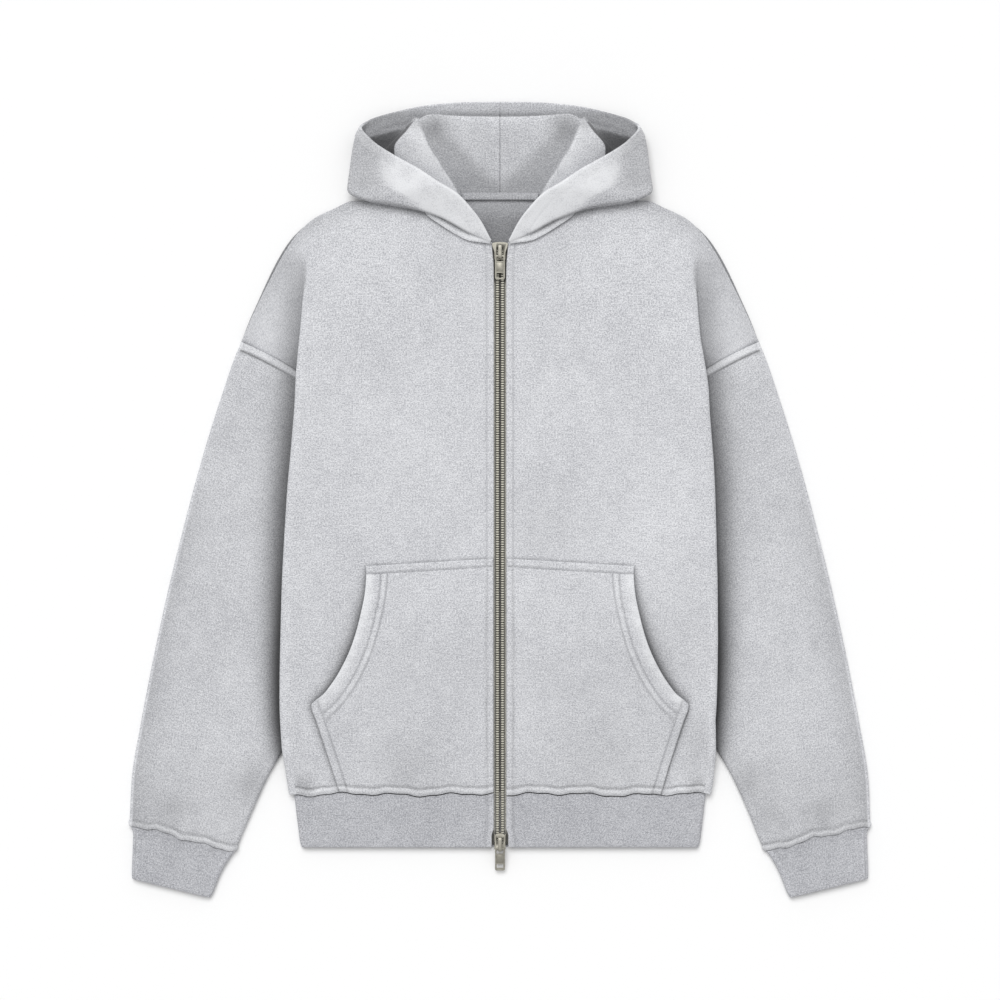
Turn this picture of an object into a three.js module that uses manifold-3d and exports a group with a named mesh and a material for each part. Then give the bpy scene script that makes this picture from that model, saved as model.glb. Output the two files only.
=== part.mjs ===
// A zip up hoodie laid flat on a table, face up, with its hood open towards the viewer.
// Millimetres. X runs across the chest, Y runs up from the hem to the hood, Z rises from the table.
import * as THREE from "three";
import { mergeVertices } from "three/addons/utils/BufferGeometryUtils.js";
import Module from "manifold-3d";

const wasm = await Module();
wasm.setup();

// Driving dimensions, in millimetres unless a comment says otherwise.
// Tables give places on the laid out garment in layout units: out from the centre line, and down the
// sheet from a line above the hood. One layout unit is UNIT millimetres.
const UNIT = 1.05;
const DOWN_OF_Y_ZERO = 499.74;
const CLOTH = 2.2;
const RIB = 2.4;
const SEAM_GAP = 0.3;
const TAPE = 1;
const NECK_DOWN = 242;
const HEM_SEAM_DOWN = 792;
const ZIP_EDGE_OUT = 6.2;
const ZIP_EDGE_Z = 7.3;
const LYING_Z = CLOTH * 1.5 + SEAM_GAP;

const HEATHER = 0xc9cbcf;
const RIB_GREY = 0xb8b9bd;
const METAL_GREY = 0x8e8b7e;

// The garment's side: -1 is the side on the left of the sheet, 1 the one on its right.
const SIDES = { left: -1, right: 1 };

// Side fold of the body, level by level: where the fold stands, the height of the crest beside it, the
// height of the leg that turns back under it, how long that leg is, and how far the fold has formed.
const FOLD = [
  { down: 242, out: 200, crest: 6.0, under: 4.4, leg: 4, formed: 0 },
  { down: 262, out: 198.5, crest: 9.0, under: 5.2, leg: 6, formed: 0.08 },
  { down: 285, out: 197.5, crest: 12.2, under: 7.0, leg: 9, formed: 0.3 },
  { down: 312, out: 198.5, crest: 15.4, under: 9.6, leg: 13, formed: 0.65 },
  { down: 340, out: 200, crest: 18.0, under: 12, leg: 17, formed: 0.92 },
  { down: 360, out: 201.5, crest: 19.2, under: 13, leg: 19.5, formed: 1 },
  { down: 378, out: 203, crest: 20, under: 13.6, leg: 22, formed: 1 },
  { down: 400, out: 204, crest: 20.6, under: 14, leg: 26, formed: 1 },
  { down: 440, out: 207, crest: 21, under: 14, leg: 25, formed: 1 },
  { down: 498, out: 212, crest: 21, under: 14, leg: 24, formed: 1 },
  { down: 595, out: 217, crest: 21, under: 14, leg: 21, formed: 1 },
  { down: 700, out: 219, crest: 21, under: 14, leg: 18, formed: 1 },
  { down: 747, out: 217, crest: 18.4, under: 12, leg: 14, formed: 1 },
  { down: 770, out: 213.5, crest: 14, under: 8.4, leg: 12, formed: 1 },
  { down: 792, out: 210, crest: 9.8, under: 5.6, leg: 10, formed: 1 },
];

// Top edge of a front: neck seam, then the shoulder seam under the hood and out to the fold.
const FRONT_TOP = [
  { out: 6, down: 242, z: 7.3 },
  { out: 14, down: 242, z: 7.3 },
  { out: 30, down: 239.5, z: 7.5 },
  { out: 45, down: 231, z: 7.6 },
  { out: 60, down: 221, z: 7.4 },
  { out: 74, down: 212.5, z: 7.0 },
  { out: 92, down: 206, z: 5.6 },
  { out: 120, down: 202, z: 4.2 },
  { out: 147, down: 200.5, z: LYING_Z },
  { out: 166, down: 208, z: LYING_Z },
  { out: 184, down: 216.5, z: LYING_Z },
  { out: 200, down: 229, z: LYING_Z },
];

// Edge of the shoulder from the start of the side fold out to the top of the armhole.
const SHOULDER = [
  { share: 0, out: 200, down: 229 },
  { share: 0.12, out: 210, down: 239.5 },
  { share: 0.3, out: 223, down: 260 },
  { share: 0.47, out: 233, down: 280 },
  { share: 0.64, out: 242, down: 300 },
  { share: 0.81, out: 251, down: 320 },
  { share: 1, out: 259.5, down: 342 },
];

// Armhole seam, from the shoulder edge to the underarm, which the side fold hides. It bows upwards.
const ARMHOLE = { topOut: 259.5, topDown: 342, endOut: 178, endDown: 396, bow: 7 };
const ARMHOLE_LIFT = [
  { share: 0, z: LYING_Z },
  { share: 0.25, z: 5.2 },
  { share: 0.5, z: 5.6 },
  { share: 0.75, z: 5.4 },
  { share: 1, z: LYING_Z },
];
const UNDERARM_DOWN = 400;

// Sleeve rings, from the armhole to the cuff seam: the outer fold and the inner fold of the flat tube.
const SLEEVE = [
  { share: 0, outerOut: 260, outerDown: 342.8, innerOut: 178.5, innerDown: 396.9, height: 7.2, bow: 7 },
  { share: 0.04, outerOut: 266, outerDown: 358, innerOut: 180, innerDown: 410, height: 7.8, bow: 6 },
  { share: 0.12, outerOut: 277, outerDown: 390, innerOut: 182.5, innerDown: 438, height: 8.2, bow: 4 },
  { share: 0.24, outerOut: 293, outerDown: 440, innerOut: 187, innerDown: 484, height: 8.2, bow: 2 },
  { share: 0.36, outerOut: 307.5, outerDown: 491, innerOut: 191, innerDown: 530, height: 8.2, bow: 0 },
  { share: 0.48, outerOut: 320, outerDown: 539, innerOut: 195, innerDown: 580, height: 8.2, bow: 0 },
  { share: 0.6, outerOut: 332, outerDown: 588, innerOut: 198.5, innerDown: 632, height: 8.2, bow: 0 },
  { share: 0.72, outerOut: 343.5, outerDown: 640, innerOut: 203, innerDown: 688, height: 8.2, bow: 0 },
  { share: 0.82, outerOut: 353, outerDown: 687, innerOut: 213, innerDown: 740, height: 8.2, bow: 0 },
  { share: 0.9, outerOut: 361, outerDown: 730, innerOut: 233, innerDown: 778, height: 8.2, bow: 0 },
  { share: 0.96, outerOut: 369, outerDown: 780, innerOut: 251, innerDown: 818, height: 8.2, bow: 0 },
  { share: 1, outerOut: 371, outerDown: 824, innerOut: 264.5, innerDown: 850.5, height: 7.8, bow: 0 },
];

// Cuff rings, from the cuff seam to the hand opening.
const CUFF = [
  { share: 0, outerOut: 369.6, outerDown: 824.9, innerOut: 266.2, innerDown: 850.6, height: 7.6, bow: 0 },
  { share: 0.12, outerOut: 367.5, outerDown: 831.5, innerOut: 271, innerDown: 856.5, height: 8.6, bow: 0 },
  { share: 0.5, outerOut: 368, outerDown: 851, innerOut: 280, innerDown: 874, height: 8.6, bow: 0 },
  { share: 0.9, outerOut: 368.8, outerDown: 874, innerOut: 288, innerDown: 894, height: 8.2, bow: 0 },
  { share: 1, outerOut: 368.5, outerDown: 879, innerOut: 290.5, innerDown: 898, height: 7.4, bow: 0 },
];

// Pocket: the out measure of its edge at each level, from the top edge down the curved hand opening to
// its lowest corner, then down the slanted edge to the hem seam.
const POCKET = [
  { down: 566, out: 134 },
  { down: 575, out: 134 },
  { down: 590, out: 135 },
  { down: 616, out: 140 },
  { down: 644, out: 148 },
  { down: 670, out: 160 },
  { down: 692, out: 175 },
  { down: 706, out: 189 },
  { down: 720, out: 184.3 },
  { down: 750, out: 174.5 },
  { down: 791, out: 161 },
];

// Half of the hood, station by station from the centre seam round to the zip. Each station is a
// section with five places: neck seam, ridge inside the bowl, valley behind it, outer fold, rim.
const HOOD = [
  {
    at: 0, neck: [0, 196.2, 1.5], ridge: [0, 117, 26], valley: [0, 123, 6],
    fold: [0, 109, 6], rim: [0, 101.5, 8],
  },
  {
    at: 1, neck: [22, 196.2, 1.6], ridge: [43, 116, 26], valley: [40, 123, 6],
    fold: [39, 109.5, 6], rim: [35, 102, 8],
  },
  {
    at: 2, neck: [40, 196.4, 2.2], ridge: [68, 114.5, 27], valley: [70, 123, 6],
    fold: [72, 111.5, 6], rim: [72, 105, 8],
  },
  {
    at: 3, neck: [52, 198, 4.4], ridge: [81, 117, 28], valley: [92, 130, 6],
    fold: [102, 119, 7], rim: [106, 112, 9],
  },
  {
    at: 4, neck: [62, 202, 7], ridge: [95, 131, 26], valley: [110, 144, 5],
    fold: [127, 129, 8], rim: [131, 120.5, 12],
  },
  {
    at: 5, neck: [70, 206.5, 9.8], ridge: [108, 148, 22], valley: [123, 158, 5],
    fold: [143, 137, 12], rim: [137, 128, 23],
  },
  {
    at: 6, neck: [75, 209.5, 10.8], ridge: [106, 165, 18], valley: [125, 174, 6],
    fold: [146.5, 152, 15], rim: [122, 142.5, 30],
  },
  {
    at: 7, neck: [76, 211.5, 10.8], ridge: [98, 180, 15], valley: [120, 187, 7.5],
    fold: [148.5, 170, 16], rim: [100, 157, 34],
  },
  {
    at: 8, neck: [74, 213, 10.8], ridge: [89, 193, 13.5], valley: [109, 197, 9.5],
    fold: [151, 190, 16.5], rim: [78, 171, 36],
  },
  {
    at: 9, neck: [70, 215, 10.8], ridge: [79, 204, 12.6], valley: [96, 205, 11],
    fold: [136, 200.5, 17], rim: [60, 184, 36],
  },
  {
    at: 10, neck: [60, 221, 10.8], ridge: [65, 214, 12.4], valley: [75, 211, 12],
    fold: [94, 207.5, 17.5], rim: [43, 195, 34],
  },
  {
    at: 11, neck: [45, 230, 10.8], ridge: [48, 224, 12.4], valley: [53, 219, 13],
    fold: [60, 217.5, 17], rim: [30, 208, 29],
  },
  {
    at: 12, neck: [30, 238, 10.8], ridge: [32, 234, 12.4], valley: [35, 230.5, 13.4],
    fold: [37, 229, 16], rim: [19.5, 221, 22],
  },
  {
    at: 13, neck: [13, 241.6, 10.8], ridge: [13, 240.2, 11.4], valley: [13, 238.8, 12],
    fold: [13, 237.4, 12.6], rim: [12.5, 235.5, 13.6],
  },
];

// Curves and small measures that all the pieces share.

// Monotone cubic through the rows of a table, so that nothing overshoots between two rows.
function track(rows, key, value) {
  const xs = rows.map((r) => r[key]);
  const ys = rows.map((r) => r[value]);
  const slopes = xs.map((x, i) => {
    if (i === 0 || i === xs.length - 1) {
      const a = i === 0 ? 0 : i - 1;
      return (ys[a + 1] - ys[a]) / (xs[a + 1] - xs[a]);
    }
    const before = (ys[i] - ys[i - 1]) / (x - xs[i - 1]);
    const after = (ys[i + 1] - ys[i]) / (xs[i + 1] - x);
    return before * after <= 0 ? 0 : (2 * before * after) / (before + after);
  });
  return (x) => {
    const held = Math.min(Math.max(x, xs[0]), xs[xs.length - 1]);
    let i = 0;
    while (i < xs.length - 2 && held > xs[i + 1]) i += 1;
    const h = xs[i + 1] - xs[i];
    const t = (held - xs[i]) / h;
    const rise = ys[i + 1] - ys[i];
    const a = h * slopes[i] - rise;
    const b = rise - h * slopes[i + 1];
    return ys[i] + t * rise + t * (1 - t) * (a * (1 - t) + b * t);
  };
}

function smooth(x) {
  const t = Math.min(Math.max(x, 0), 1);
  return t * t * (3 - 2 * t);
}

// Rises from 0 at both ends of a seam to 1 in its middle.
function arch(share) {
  return 4 * share * (1 - share);
}

function mix(a, b, t) {
  return a + (b - a) * t;
}

// A place in layout units on one side of the garment, as a point in millimetres.
function place(side, out, down, z) {
  return new THREE.Vector3(side * out * UNIT, (DOWN_OF_Y_ZERO - down) * UNIT, z);
}

function steps(from, to, count) {
  return Array.from({ length: count + 1 }, (_, i) => mix(from, to, i / count));
}

// Solids from grids of points and from flat outlines.

// Normal of a grid of points at one place, from its neighbours along both directions.
function gridNormal(grid, i, j, round) {
  const last = grid[0].length - 1;
  const before = round ? grid[i][(j + last) % (last + 1)] : grid[i][Math.max(j - 1, 0)];
  const after = round ? grid[i][(j + 1) % (last + 1)] : grid[i][Math.min(j + 1, last)];
  const along = new THREE.Vector3().subVectors(after, before);
  const down = new THREE.Vector3().subVectors(
    grid[Math.min(i + 1, grid.length - 1)][j],
    grid[Math.max(i - 1, 0)][j],
  );
  return new THREE.Vector3().crossVectors(along, down).normalize();
}

// Points of a grid moved along their normals.
function moved(grid, distance, round = false) {
  return grid.map((row, i) =>
    row.map((p, j) => {
      const d = typeof distance === "function" ? distance(i, j) : distance;
      return p.clone().addScaledVector(gridNormal(grid, i, j, round), d);
    }),
  );
}

// Closed wall between two grids of the same size. A round grid joins its last column to its first.
function shell(outer, inner, round = false) {
  const rows = outer.length;
  const cols = outer[0].length;
  const points = [...outer.flat(), ...inner.flat()];
  const base = rows * cols;
  const index = [];
  const quad = (a, b, c, d) => index.push(a, b, c, a, c, d);
  const at = (i, j) => i * cols + (j % cols);
  const spans = round ? cols : cols - 1;
  for (let i = 0; i < rows - 1; i += 1) {
    for (let j = 0; j < spans; j += 1) {
      quad(at(i, j), at(i, j + 1), at(i + 1, j + 1), at(i + 1, j));
      quad(base + at(i, j), base + at(i + 1, j), base + at(i + 1, j + 1), base + at(i, j + 1));
    }
  }
  for (let j = 0; j < spans; j += 1) {
    quad(at(0, j + 1), at(0, j), base + at(0, j), base + at(0, j + 1));
    const e = rows - 1;
    quad(at(e, j), at(e, j + 1), base + at(e, j + 1), base + at(e, j));
  }
  if (!round) {
    const e = cols - 1;
    for (let i = 0; i < rows - 1; i += 1) {
      quad(at(i, 0), at(i + 1, 0), base + at(i + 1, 0), base + at(i, 0));
      quad(at(i + 1, e), at(i, e), base + at(i, e), base + at(i + 1, e));
    }
  }
  const geometry = new THREE.BufferGeometry();
  const numbers = points.flatMap((p) => [p.x, p.y, p.z]);
  geometry.setAttribute("position", new THREE.Float32BufferAttribute(numbers, 3));
  geometry.setIndex(index);
  return facingOut(geometry);
}

// Turns a closed geometry's faces outwards if its signed volume says that they face in.
function facingOut(geometry) {
  const p = geometry.getAttribute("position");
  const index = geometry.index.array;
  const a = new THREE.Vector3();
  const b = new THREE.Vector3();
  const c = new THREE.Vector3();
  let volume = 0;
  for (let i = 0; i < index.length; i += 3) {
    a.fromBufferAttribute(p, index[i]);
    b.fromBufferAttribute(p, index[i + 1]);
    c.fromBufferAttribute(p, index[i + 2]);
    volume += a.dot(b.cross(c));
  }
  if (volume < 0) {
    for (let i = 0; i < index.length; i += 3) [index[i], index[i + 1]] = [index[i + 1], index[i]];
  }
  return geometry;
}

// Cloth wall of one thickness, half on each side of a grid of middle points.
function wall(grid, thickness, round = false) {
  return shell(moved(grid, thickness / 2, round), moved(grid, -thickness / 2, round), round);
}

// Flat outline in millimetres, raised from one height to another.
function plate(outline, low, high, holes = []) {
  const shape = new THREE.Shape(outline.map(([x, y]) => new THREE.Vector2(x, y)));
  holes.forEach((h) => shape.holes.push(new THREE.Path(h.map(([x, y]) => new THREE.Vector2(x, y)))));
  const raw = new THREE.ExtrudeGeometry(shape, { depth: high - low, bevelEnabled: false });
  raw.translate(0, 0, low);
  raw.deleteAttribute("normal");
  raw.deleteAttribute("uv");
  return facingOut(mergeVertices(raw, 1e-4));
}

function solid(geometry) {
  const positions = new Float32Array(geometry.getAttribute("position").array);
  const triangles = new Uint32Array(geometry.index.array);
  return new wasm.Manifold(new wasm.Mesh({ numProp: 3, vertProperties: positions, triVerts: triangles }));
}

// Several closed geometries joined into one.
function joined(list) {
  const made = list.map(solid).reduce((a, b) => a.add(b)).getMesh();
  const geometry = new THREE.BufferGeometry();
  geometry.setAttribute("position", new THREE.BufferAttribute(new Float32Array(made.vertProperties), 3));
  geometry.setIndex(new THREE.BufferAttribute(new Uint32Array(made.triVerts), 1));
  return geometry;
}

const garment = new THREE.Group();
garment.name = "zip_up_hoodie";

function add(name, geometry, color, roughness = 0.95, metalness = 0) {
  geometry.computeVertexNormals();
  const mesh = new THREE.Mesh(geometry, new THREE.MeshStandardMaterial({ color, roughness, metalness }));
  mesh.name = name;
  garment.add(mesh);
}

// Fronts: one panel on each side, from the zip to the armhole and the side seam.

const foldOut = track(FOLD, "down", "out");
const foldCrest = track(FOLD, "down", "crest");
const foldUnder = track(FOLD, "down", "under");
const foldLeg = track(FOLD, "down", "leg");
const foldFormed = track(FOLD, "down", "formed");
const topDown = track(FRONT_TOP, "out", "down");
const topZ = track(FRONT_TOP, "out", "z");
const shoulderOut = track(SHOULDER, "share", "out");
const shoulderDown = track(SHOULDER, "share", "down");
const armholeZ = track(ARMHOLE_LIFT, "share", "z");
const armholeOut = (share) => mix(ARMHOLE.topOut, ARMHOLE.endOut, share);
const armholeDown = (share) => mix(ARMHOLE.topDown, ARMHOLE.endDown, share) - ARMHOLE.bow * arch(share);

const TOP_REACH = 105;
const TOP_ROUNDING = 55;
const CREST_INSET = 7;
const CHEST_RISE = 3.2;

// Middle of the front's cloth between the zip and the crest of its side fold.
function frontFace(out, down) {
  const lift = (NECK_DOWN - topDown(out)) * (1 - smooth((down - NECK_DOWN) / TOP_REACH));
  const crestOut = foldOut(down) - CREST_INSET;
  const across = Math.min(Math.max((out - ZIP_EDGE_OUT) / (crestOut - ZIP_EDGE_OUT), 0), 1);
  const chest = mix(ZIP_EDGE_Z, foldCrest(down), across ** CHEST_RISE);
  const near = smooth((down - NECK_DOWN) / TOP_ROUNDING);
  return { out, down: down - lift, z: mix(topZ(out), chest, near) };
}

// One row of a front, from the zip to the crest, round the side fold, and on to its last edge: the
// armhole seam above the underarm, the side seam on the back below it.
const FACE_SHARES = [0, 0.07, 0.18, 0.3, 0.43, 0.57, 0.71, 0.83, 0.92, 1];
const TURN = [
  { flat: 0.05, out: -2.2, z: 0.86 },
  { flat: 0.08, out: 0, z: 0.48 },
  { flat: 0.11, out: -2.6, z: 0.1 },
];
const LEG_SHARES = [0.5, 1];
const LAST_SHARES = [0.06, 0.36, 0.68, 1];

// How far the turned leg starts inside the fold, how far its own turn reaches in past its end, and how
// far inside that the side seam runs on the back.
const LEG_START = 2.6;
const LEG_TURN = 2;
const SEAM_INSIDE = 2.2;
// Shares of the open cloth that match the leg, its turn and the start of the last edge.
const OPEN_LEG = [0.11, 0.2];
const OPEN_TURN = 0.23;
const OPEN_LAST = 0.26;
// Level at which the last edge starts to leave the armhole for the side seam.
const EDGE_LEAVES_DOWN = 384;
// How quickly the open cloth comes down from the crest to the armhole.
const OPEN_DROP = 2.2;
// Share of the way down to the back that the last edge has already gone at its start.
const LAST_START = 0.06;

function frontRow(down) {
  const fold = foldOut(down);
  const crest = foldCrest(down);
  const under = foldUnder(down);
  const leg = foldLeg(down);
  const formed = foldFormed(down);
  const onArm = Math.min((down - NECK_DOWN) / (UNDERARM_DOWN - NECK_DOWN), 1);
  const row = FACE_SHARES.map((s) => frontFace(mix(ZIP_EDGE_OUT, fold - CREST_INSET, s), down));
  const start = row[row.length - 1];

  // Without a fold, the cloth runs on from the crest to the armhole seam.
  const end = { out: armholeOut(onArm), down: armholeDown(onArm), z: armholeZ(onArm) };
  const open = (share) => {
    const straight = { out: mix(start.out, end.out, share), down: mix(start.down, end.down, share) };
    const edge = (1 - onArm) ** 2;
    const bulgeOut = shoulderOut(share) - mix(shoulderOut(0), shoulderOut(1), share);
    const bulgeDown = shoulderDown(share) - mix(shoulderDown(0), shoulderDown(1), share);
    return {
      out: straight.out + bulgeOut * edge,
      down: straight.down + bulgeDown * edge,
      z: mix(start.z, end.z, smooth(share * OPEN_DROP)),
    };
  };
  const blend = (flat, folded) => ({
    out: mix(flat.out, folded.out, formed),
    down: mix(flat.down, folded.down, formed),
    z: mix(flat.z, folded.z, formed),
  });
  TURN.forEach((t) => {
    const folded = { out: fold + t.out, down, z: mix(under, crest, t.z) };
    row.push(blend(open(t.flat), folded));
  });
  LEG_SHARES.forEach((s) => {
    const lower = mix(down, Math.max(down, start.down), s);
    const folded = { out: fold - mix(LEG_START, leg, s), down: lower, z: under };
    row.push(blend(open(mix(OPEN_LEG[0], OPEN_LEG[1], s)), folded));
  });
  const turnIn = { out: fold - leg - LEG_TURN, down, z: mix(under, end.z, 0.5) };
  row.push(blend(open(OPEN_TURN), turnIn));
  const low = { out: fold - leg, down, z: end.z };
  LAST_SHARES.forEach((s) => {
    const above = { out: mix(low.out, end.out, s), down: mix(low.down, end.down, s), z: end.z };
    const drop = mix(mix(under, LYING_Z, 0.5), CLOTH + SEAM_GAP, mix(LAST_START, 1, s));
    const below = { out: fold - leg - SEAM_INSIDE, down, z: drop };
    const passed = smooth((down - EDGE_LEAVES_DOWN) / (UNDERARM_DOWN - EDGE_LEAVES_DOWN));
    const folded = {
      out: mix(above.out, below.out, passed),
      down: mix(above.down, below.down, passed),
      z: mix(above.z, below.z, passed),
    };
    row.push(blend(open(mix(OPEN_LAST, 1, s)), folded));
  });
  return row;
}

// The body panels stop just short of the hem band.
const PANEL_END_DOWN = HEM_SEAM_DOWN - 0.4;
const FRONT_LEVELS = [
  ...steps(NECK_DOWN, 312, 7),
  ...steps(325, 370, 3),
  ...steps(382, 408, 3),
  ...steps(430, 550, 4),
  ...steps(590, 740, 5),
  ...steps(755, PANEL_END_DOWN, 3),
];
const toPoints = (side, rows) => rows.map((row) => row.map((p) => place(side, p.out, p.down, p.z)));

Object.entries(SIDES).forEach(([label, side]) => {
  const grid = toPoints(side, FRONT_LEVELS.map(frontRow));
  add("front_" + label, wall(grid, CLOTH), HEATHER);
});

// Pockets: made from the front's points and moved out.

// The top edge of a pocket rises towards the zip.
const POCKET_RISE = 7.5;
const POCKET_CLEAR = 0.7;
const POCKET_LEVELS = [566, 575, 590, 604, 620, 644, 658, 672, 684, 696, 706, 730, 760, 790.8];
const POCKET_ZIP_CLEAR = 0.4;
const pocketOut = track(POCKET, "down", "out");

Object.entries(SIDES).forEach(([label, side]) => {
  const first = POCKET_LEVELS[0];
  const last = POCKET_LEVELS[POCKET_LEVELS.length - 1];
  const rows = POCKET_LEVELS.map((down) => {
    const rise = POCKET_RISE * ((last - down) / (last - first)) ** 2;
    return steps(0, 1, 8).map((s) =>
      frontFace(mix(ZIP_EDGE_OUT + POCKET_ZIP_CLEAR, pocketOut(down), s), down - rise * (1 - s)),
    );
  });
  const base = toPoints(side, rows);
  const up = gridNormal(base, 1, 1, false).z > 0 ? 1 : -1;
  const low = moved(base, up * (CLOTH / 2 + POCKET_CLEAR));
  const high = moved(base, up * (CLOTH * 1.5 + POCKET_CLEAR));
  add("pocket_" + label, shell(high, low), HEATHER);
});

// Back: flat on the table.

const BACK_EDGE = [
  [0, 197.2],
  [30, 197.2],
  [46, 198.4],
  [62, 202.5],
  [74, 206.5],
  [92, 204],
  [120, 201],
  [147, 200.5],
  [166, 208],
  [184, 216.5],
];
const BACK_SHOULDER = steps(0, 1, 10).map((s) => [shoulderOut(s), shoulderDown(s)]);
const BACK_ARMHOLE = steps(0.1, 1, 9).map((s) => [armholeOut(s), armholeDown(s)]);
// The back's side edge lies just outside the seam line of the fronts.
const BACK_SIDE_INSIDE = 3.4;
const BACK_SIDE = steps(UNDERARM_DOWN, PANEL_END_DOWN, 12).map((d) => [
  foldOut(d) - foldLeg(d) - BACK_SIDE_INSIDE,
  d,
]);
const backHalf = [...BACK_EDGE, ...BACK_SHOULDER, ...BACK_ARMHOLE, ...BACK_SIDE];
const backOutline = [
  ...backHalf.map(([out, down]) => [out * UNIT, (DOWN_OF_Y_ZERO - down) * UNIT]),
  ...backHalf
    .slice(1)
    .reverse()
    .map(([out, down]) => [-out * UNIT, (DOWN_OF_Y_ZERO - down) * UNIT]),
];
add("back", plate(backOutline, 0, CLOTH), HEATHER);

// Sleeves and cuffs: flat tubes.

// Round the flat tube: outer fold, front of the sleeve, inner fold, back of the sleeve.
const FLAT_SHARES = [0.02, 0.14, 0.32, 0.5, 0.68, 0.86, 0.98];
const TURN_ANGLES = [50, 0, -50];

function tubeRing(ring, thickness) {
  const half = (ring.height - thickness) / 2;
  const middle = ring.height / 2;
  const length = Math.hypot(ring.innerOut - ring.outerOut, ring.innerDown - ring.outerDown) * UNIT;
  const inset = (half + thickness / 2) / length;
  const at = (share, z) => ({
    out: mix(ring.outerOut, ring.innerOut, share),
    down: mix(ring.outerDown, ring.innerDown, share) - ring.bow * arch(share),
    z,
  });
  const spread = (s) => mix(inset, 1 - inset, s);
  const front = FLAT_SHARES.map((s) => at(spread(s), middle + half));
  const inner = TURN_ANGLES.map((a) => {
    const turn = THREE.MathUtils.degToRad(a);
    return at(1 - inset + (Math.cos(turn) * half) / length, middle + Math.sin(turn) * half);
  });
  const back = [...FLAT_SHARES].reverse().map((s) => at(spread(s), middle - half));
  const outer = TURN_ANGLES.map((a) => {
    const turn = THREE.MathUtils.degToRad(a);
    return at(inset - (Math.cos(turn) * half) / length, middle - Math.sin(turn) * half);
  });
  return [...front, ...inner, ...back, ...outer];
}

function tube(side, table, thickness, count) {
  const keys = ["outerOut", "outerDown", "innerOut", "innerDown", "height", "bow"];
  const tracks = Object.fromEntries(keys.map((k) => [k, track(table, "share", k)]));
  const rows = steps(0, 1, count).map((share) => {
    const ring = Object.fromEntries(keys.map((k) => [k, tracks[k](share)]));
    return tubeRing(ring, thickness);
  });
  return wall(toPoints(side, rows), thickness, true);
}

Object.entries(SIDES).forEach(([label, side]) => {
  add("sleeve_" + label, tube(side, SLEEVE, CLOTH, 13), HEATHER);
  add("cuff_" + label, tube(side, CUFF, RIB, 5), RIB_GREY);
});

// Hem band: one ribbed strip from zip edge to zip edge, round the back.

const HEM = [
  { share: 0, down: 792.3, out: 206, z: 7.2 },
  { share: 0.15, down: 801, out: 205, z: 7.4 },
  { share: 0.6, down: 828, out: 202, z: 7.4 },
  { share: 0.92, down: 843, out: 200, z: 7.3 },
  { share: 1, down: 847.5, out: 198.5, z: 7.1 },
];
const HEM_TURN_ANGLES = [60, 20, -20, -60];
// Where the flat front of the band ends before its side fold, and where its back leaves the middle.
const HEM_FOLD_INSET = 6;
const HEM_BACK_OUT = 12;
const hemDown = track(HEM, "share", "down");
const hemOut = track(HEM, "share", "out");
const hemZ = track(HEM, "share", "z");

function hemRow(share) {
  const down = hemDown(share);
  const out = hemOut(share);
  const top = hemZ(share);
  const low = RIB / 2;
  const turn = (top - low) / 2;
  const half = [];
  steps(0, 1, 8).forEach((s) => {
    const o = mix(ZIP_EDGE_OUT, out - HEM_FOLD_INSET, s);
    half.push({ out: o, down, z: mix(ZIP_EDGE_Z + 0.1, top, smooth(s)) });
  });
  HEM_TURN_ANGLES.forEach((a) => {
    const r = THREE.MathUtils.degToRad(a);
    half.push({ out: out - turn - 1 + Math.cos(r) * turn, down, z: low + turn + Math.sin(r) * turn });
  });
  steps(0, 1, 5).forEach((s) => {
    half.push({ out: mix(out - HEM_FOLD_INSET, HEM_BACK_OUT, s), down, z: low });
  });
  const other = [...half].reverse().map((p) => ({ ...p, out: -p.out }));
  return [...half, ...other];
}
add("hem_band", wall(toPoints(-1, steps(0, 1, 5).map(hemRow)), RIB), RIB_GREY);

// Hood: two halves with a seam along the centre.

const HOOD_KEYS = ["neck", "ridge", "valley", "fold", "rim"];
const HOOD_STATIONS = steps(0, 13, 26);
const HOOD_SECTION = 15;

function hoodSection(side, at, firstOut) {
  const keys = HOOD_KEYS.map((key) => {
    const rows = HOOD.map((r) => ({ at: r.at, out: r[key][0], down: r[key][1], z: r[key][2] }));
    const p = ["out", "down", "z"].map((v) => track(rows, "at", v)(at));
    return place(side, Math.max(p[0], firstOut), p[1], p[2]);
  });
  const curve = new THREE.CatmullRomCurve3(keys, false, "centripetal");
  return steps(0, 1, HOOD_SECTION).map((t) => curve.getPoint(t));
}

Object.entries(SIDES).forEach(([label, side]) => {
  const half = SEAM_GAP / 2 / UNIT;
  const grid = HOOD_STATIONS.map((at) => hoodSection(side, at, half));
  add("hood_" + label, wall(grid, CLOTH), HEATHER);
});

// Neck tape: a strip over the neck seam, inside the back of the neck.

const NECK_TAPE = [
  { out: 0, high: 192, low: 199.6, z: 5.2 },
  { out: 22, high: 192, low: 199.6, z: 5.3 },
  { out: 38, high: 192.4, low: 199.8, z: 6.2 },
];
const tapeRow = (o) => {
  const outs = Math.abs(o);
  const sign = Math.sign(o) || 1;
  const high = track(NECK_TAPE, "out", "high")(outs);
  const low = track(NECK_TAPE, "out", "low")(outs);
  const z = track(NECK_TAPE, "out", "z")(outs);
  return steps(0, 1, 3).map((s) => place(sign, outs, mix(high, low, s), z));
};
add("neck_tape", wall(steps(-38, 38, 8).map(tapeRow), TAPE), HEATHER);

// Zip: woven tapes under the fronts, and a bar for each row of teeth.

const TAPE_Z = 5.4;
const TAPE_OUT = 18;
const TAPE_TOP_DOWN = 244;
const TAPE_END_DOWN = 845;
const CHAIN_TOP_DOWN = 249.5;
const CHAIN_END_DOWN = 843.5;
const CHAIN_OUT = 4.3;
const CHAIN_LOW = 3.9;
const CHAIN_HIGH = 6.9;

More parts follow.
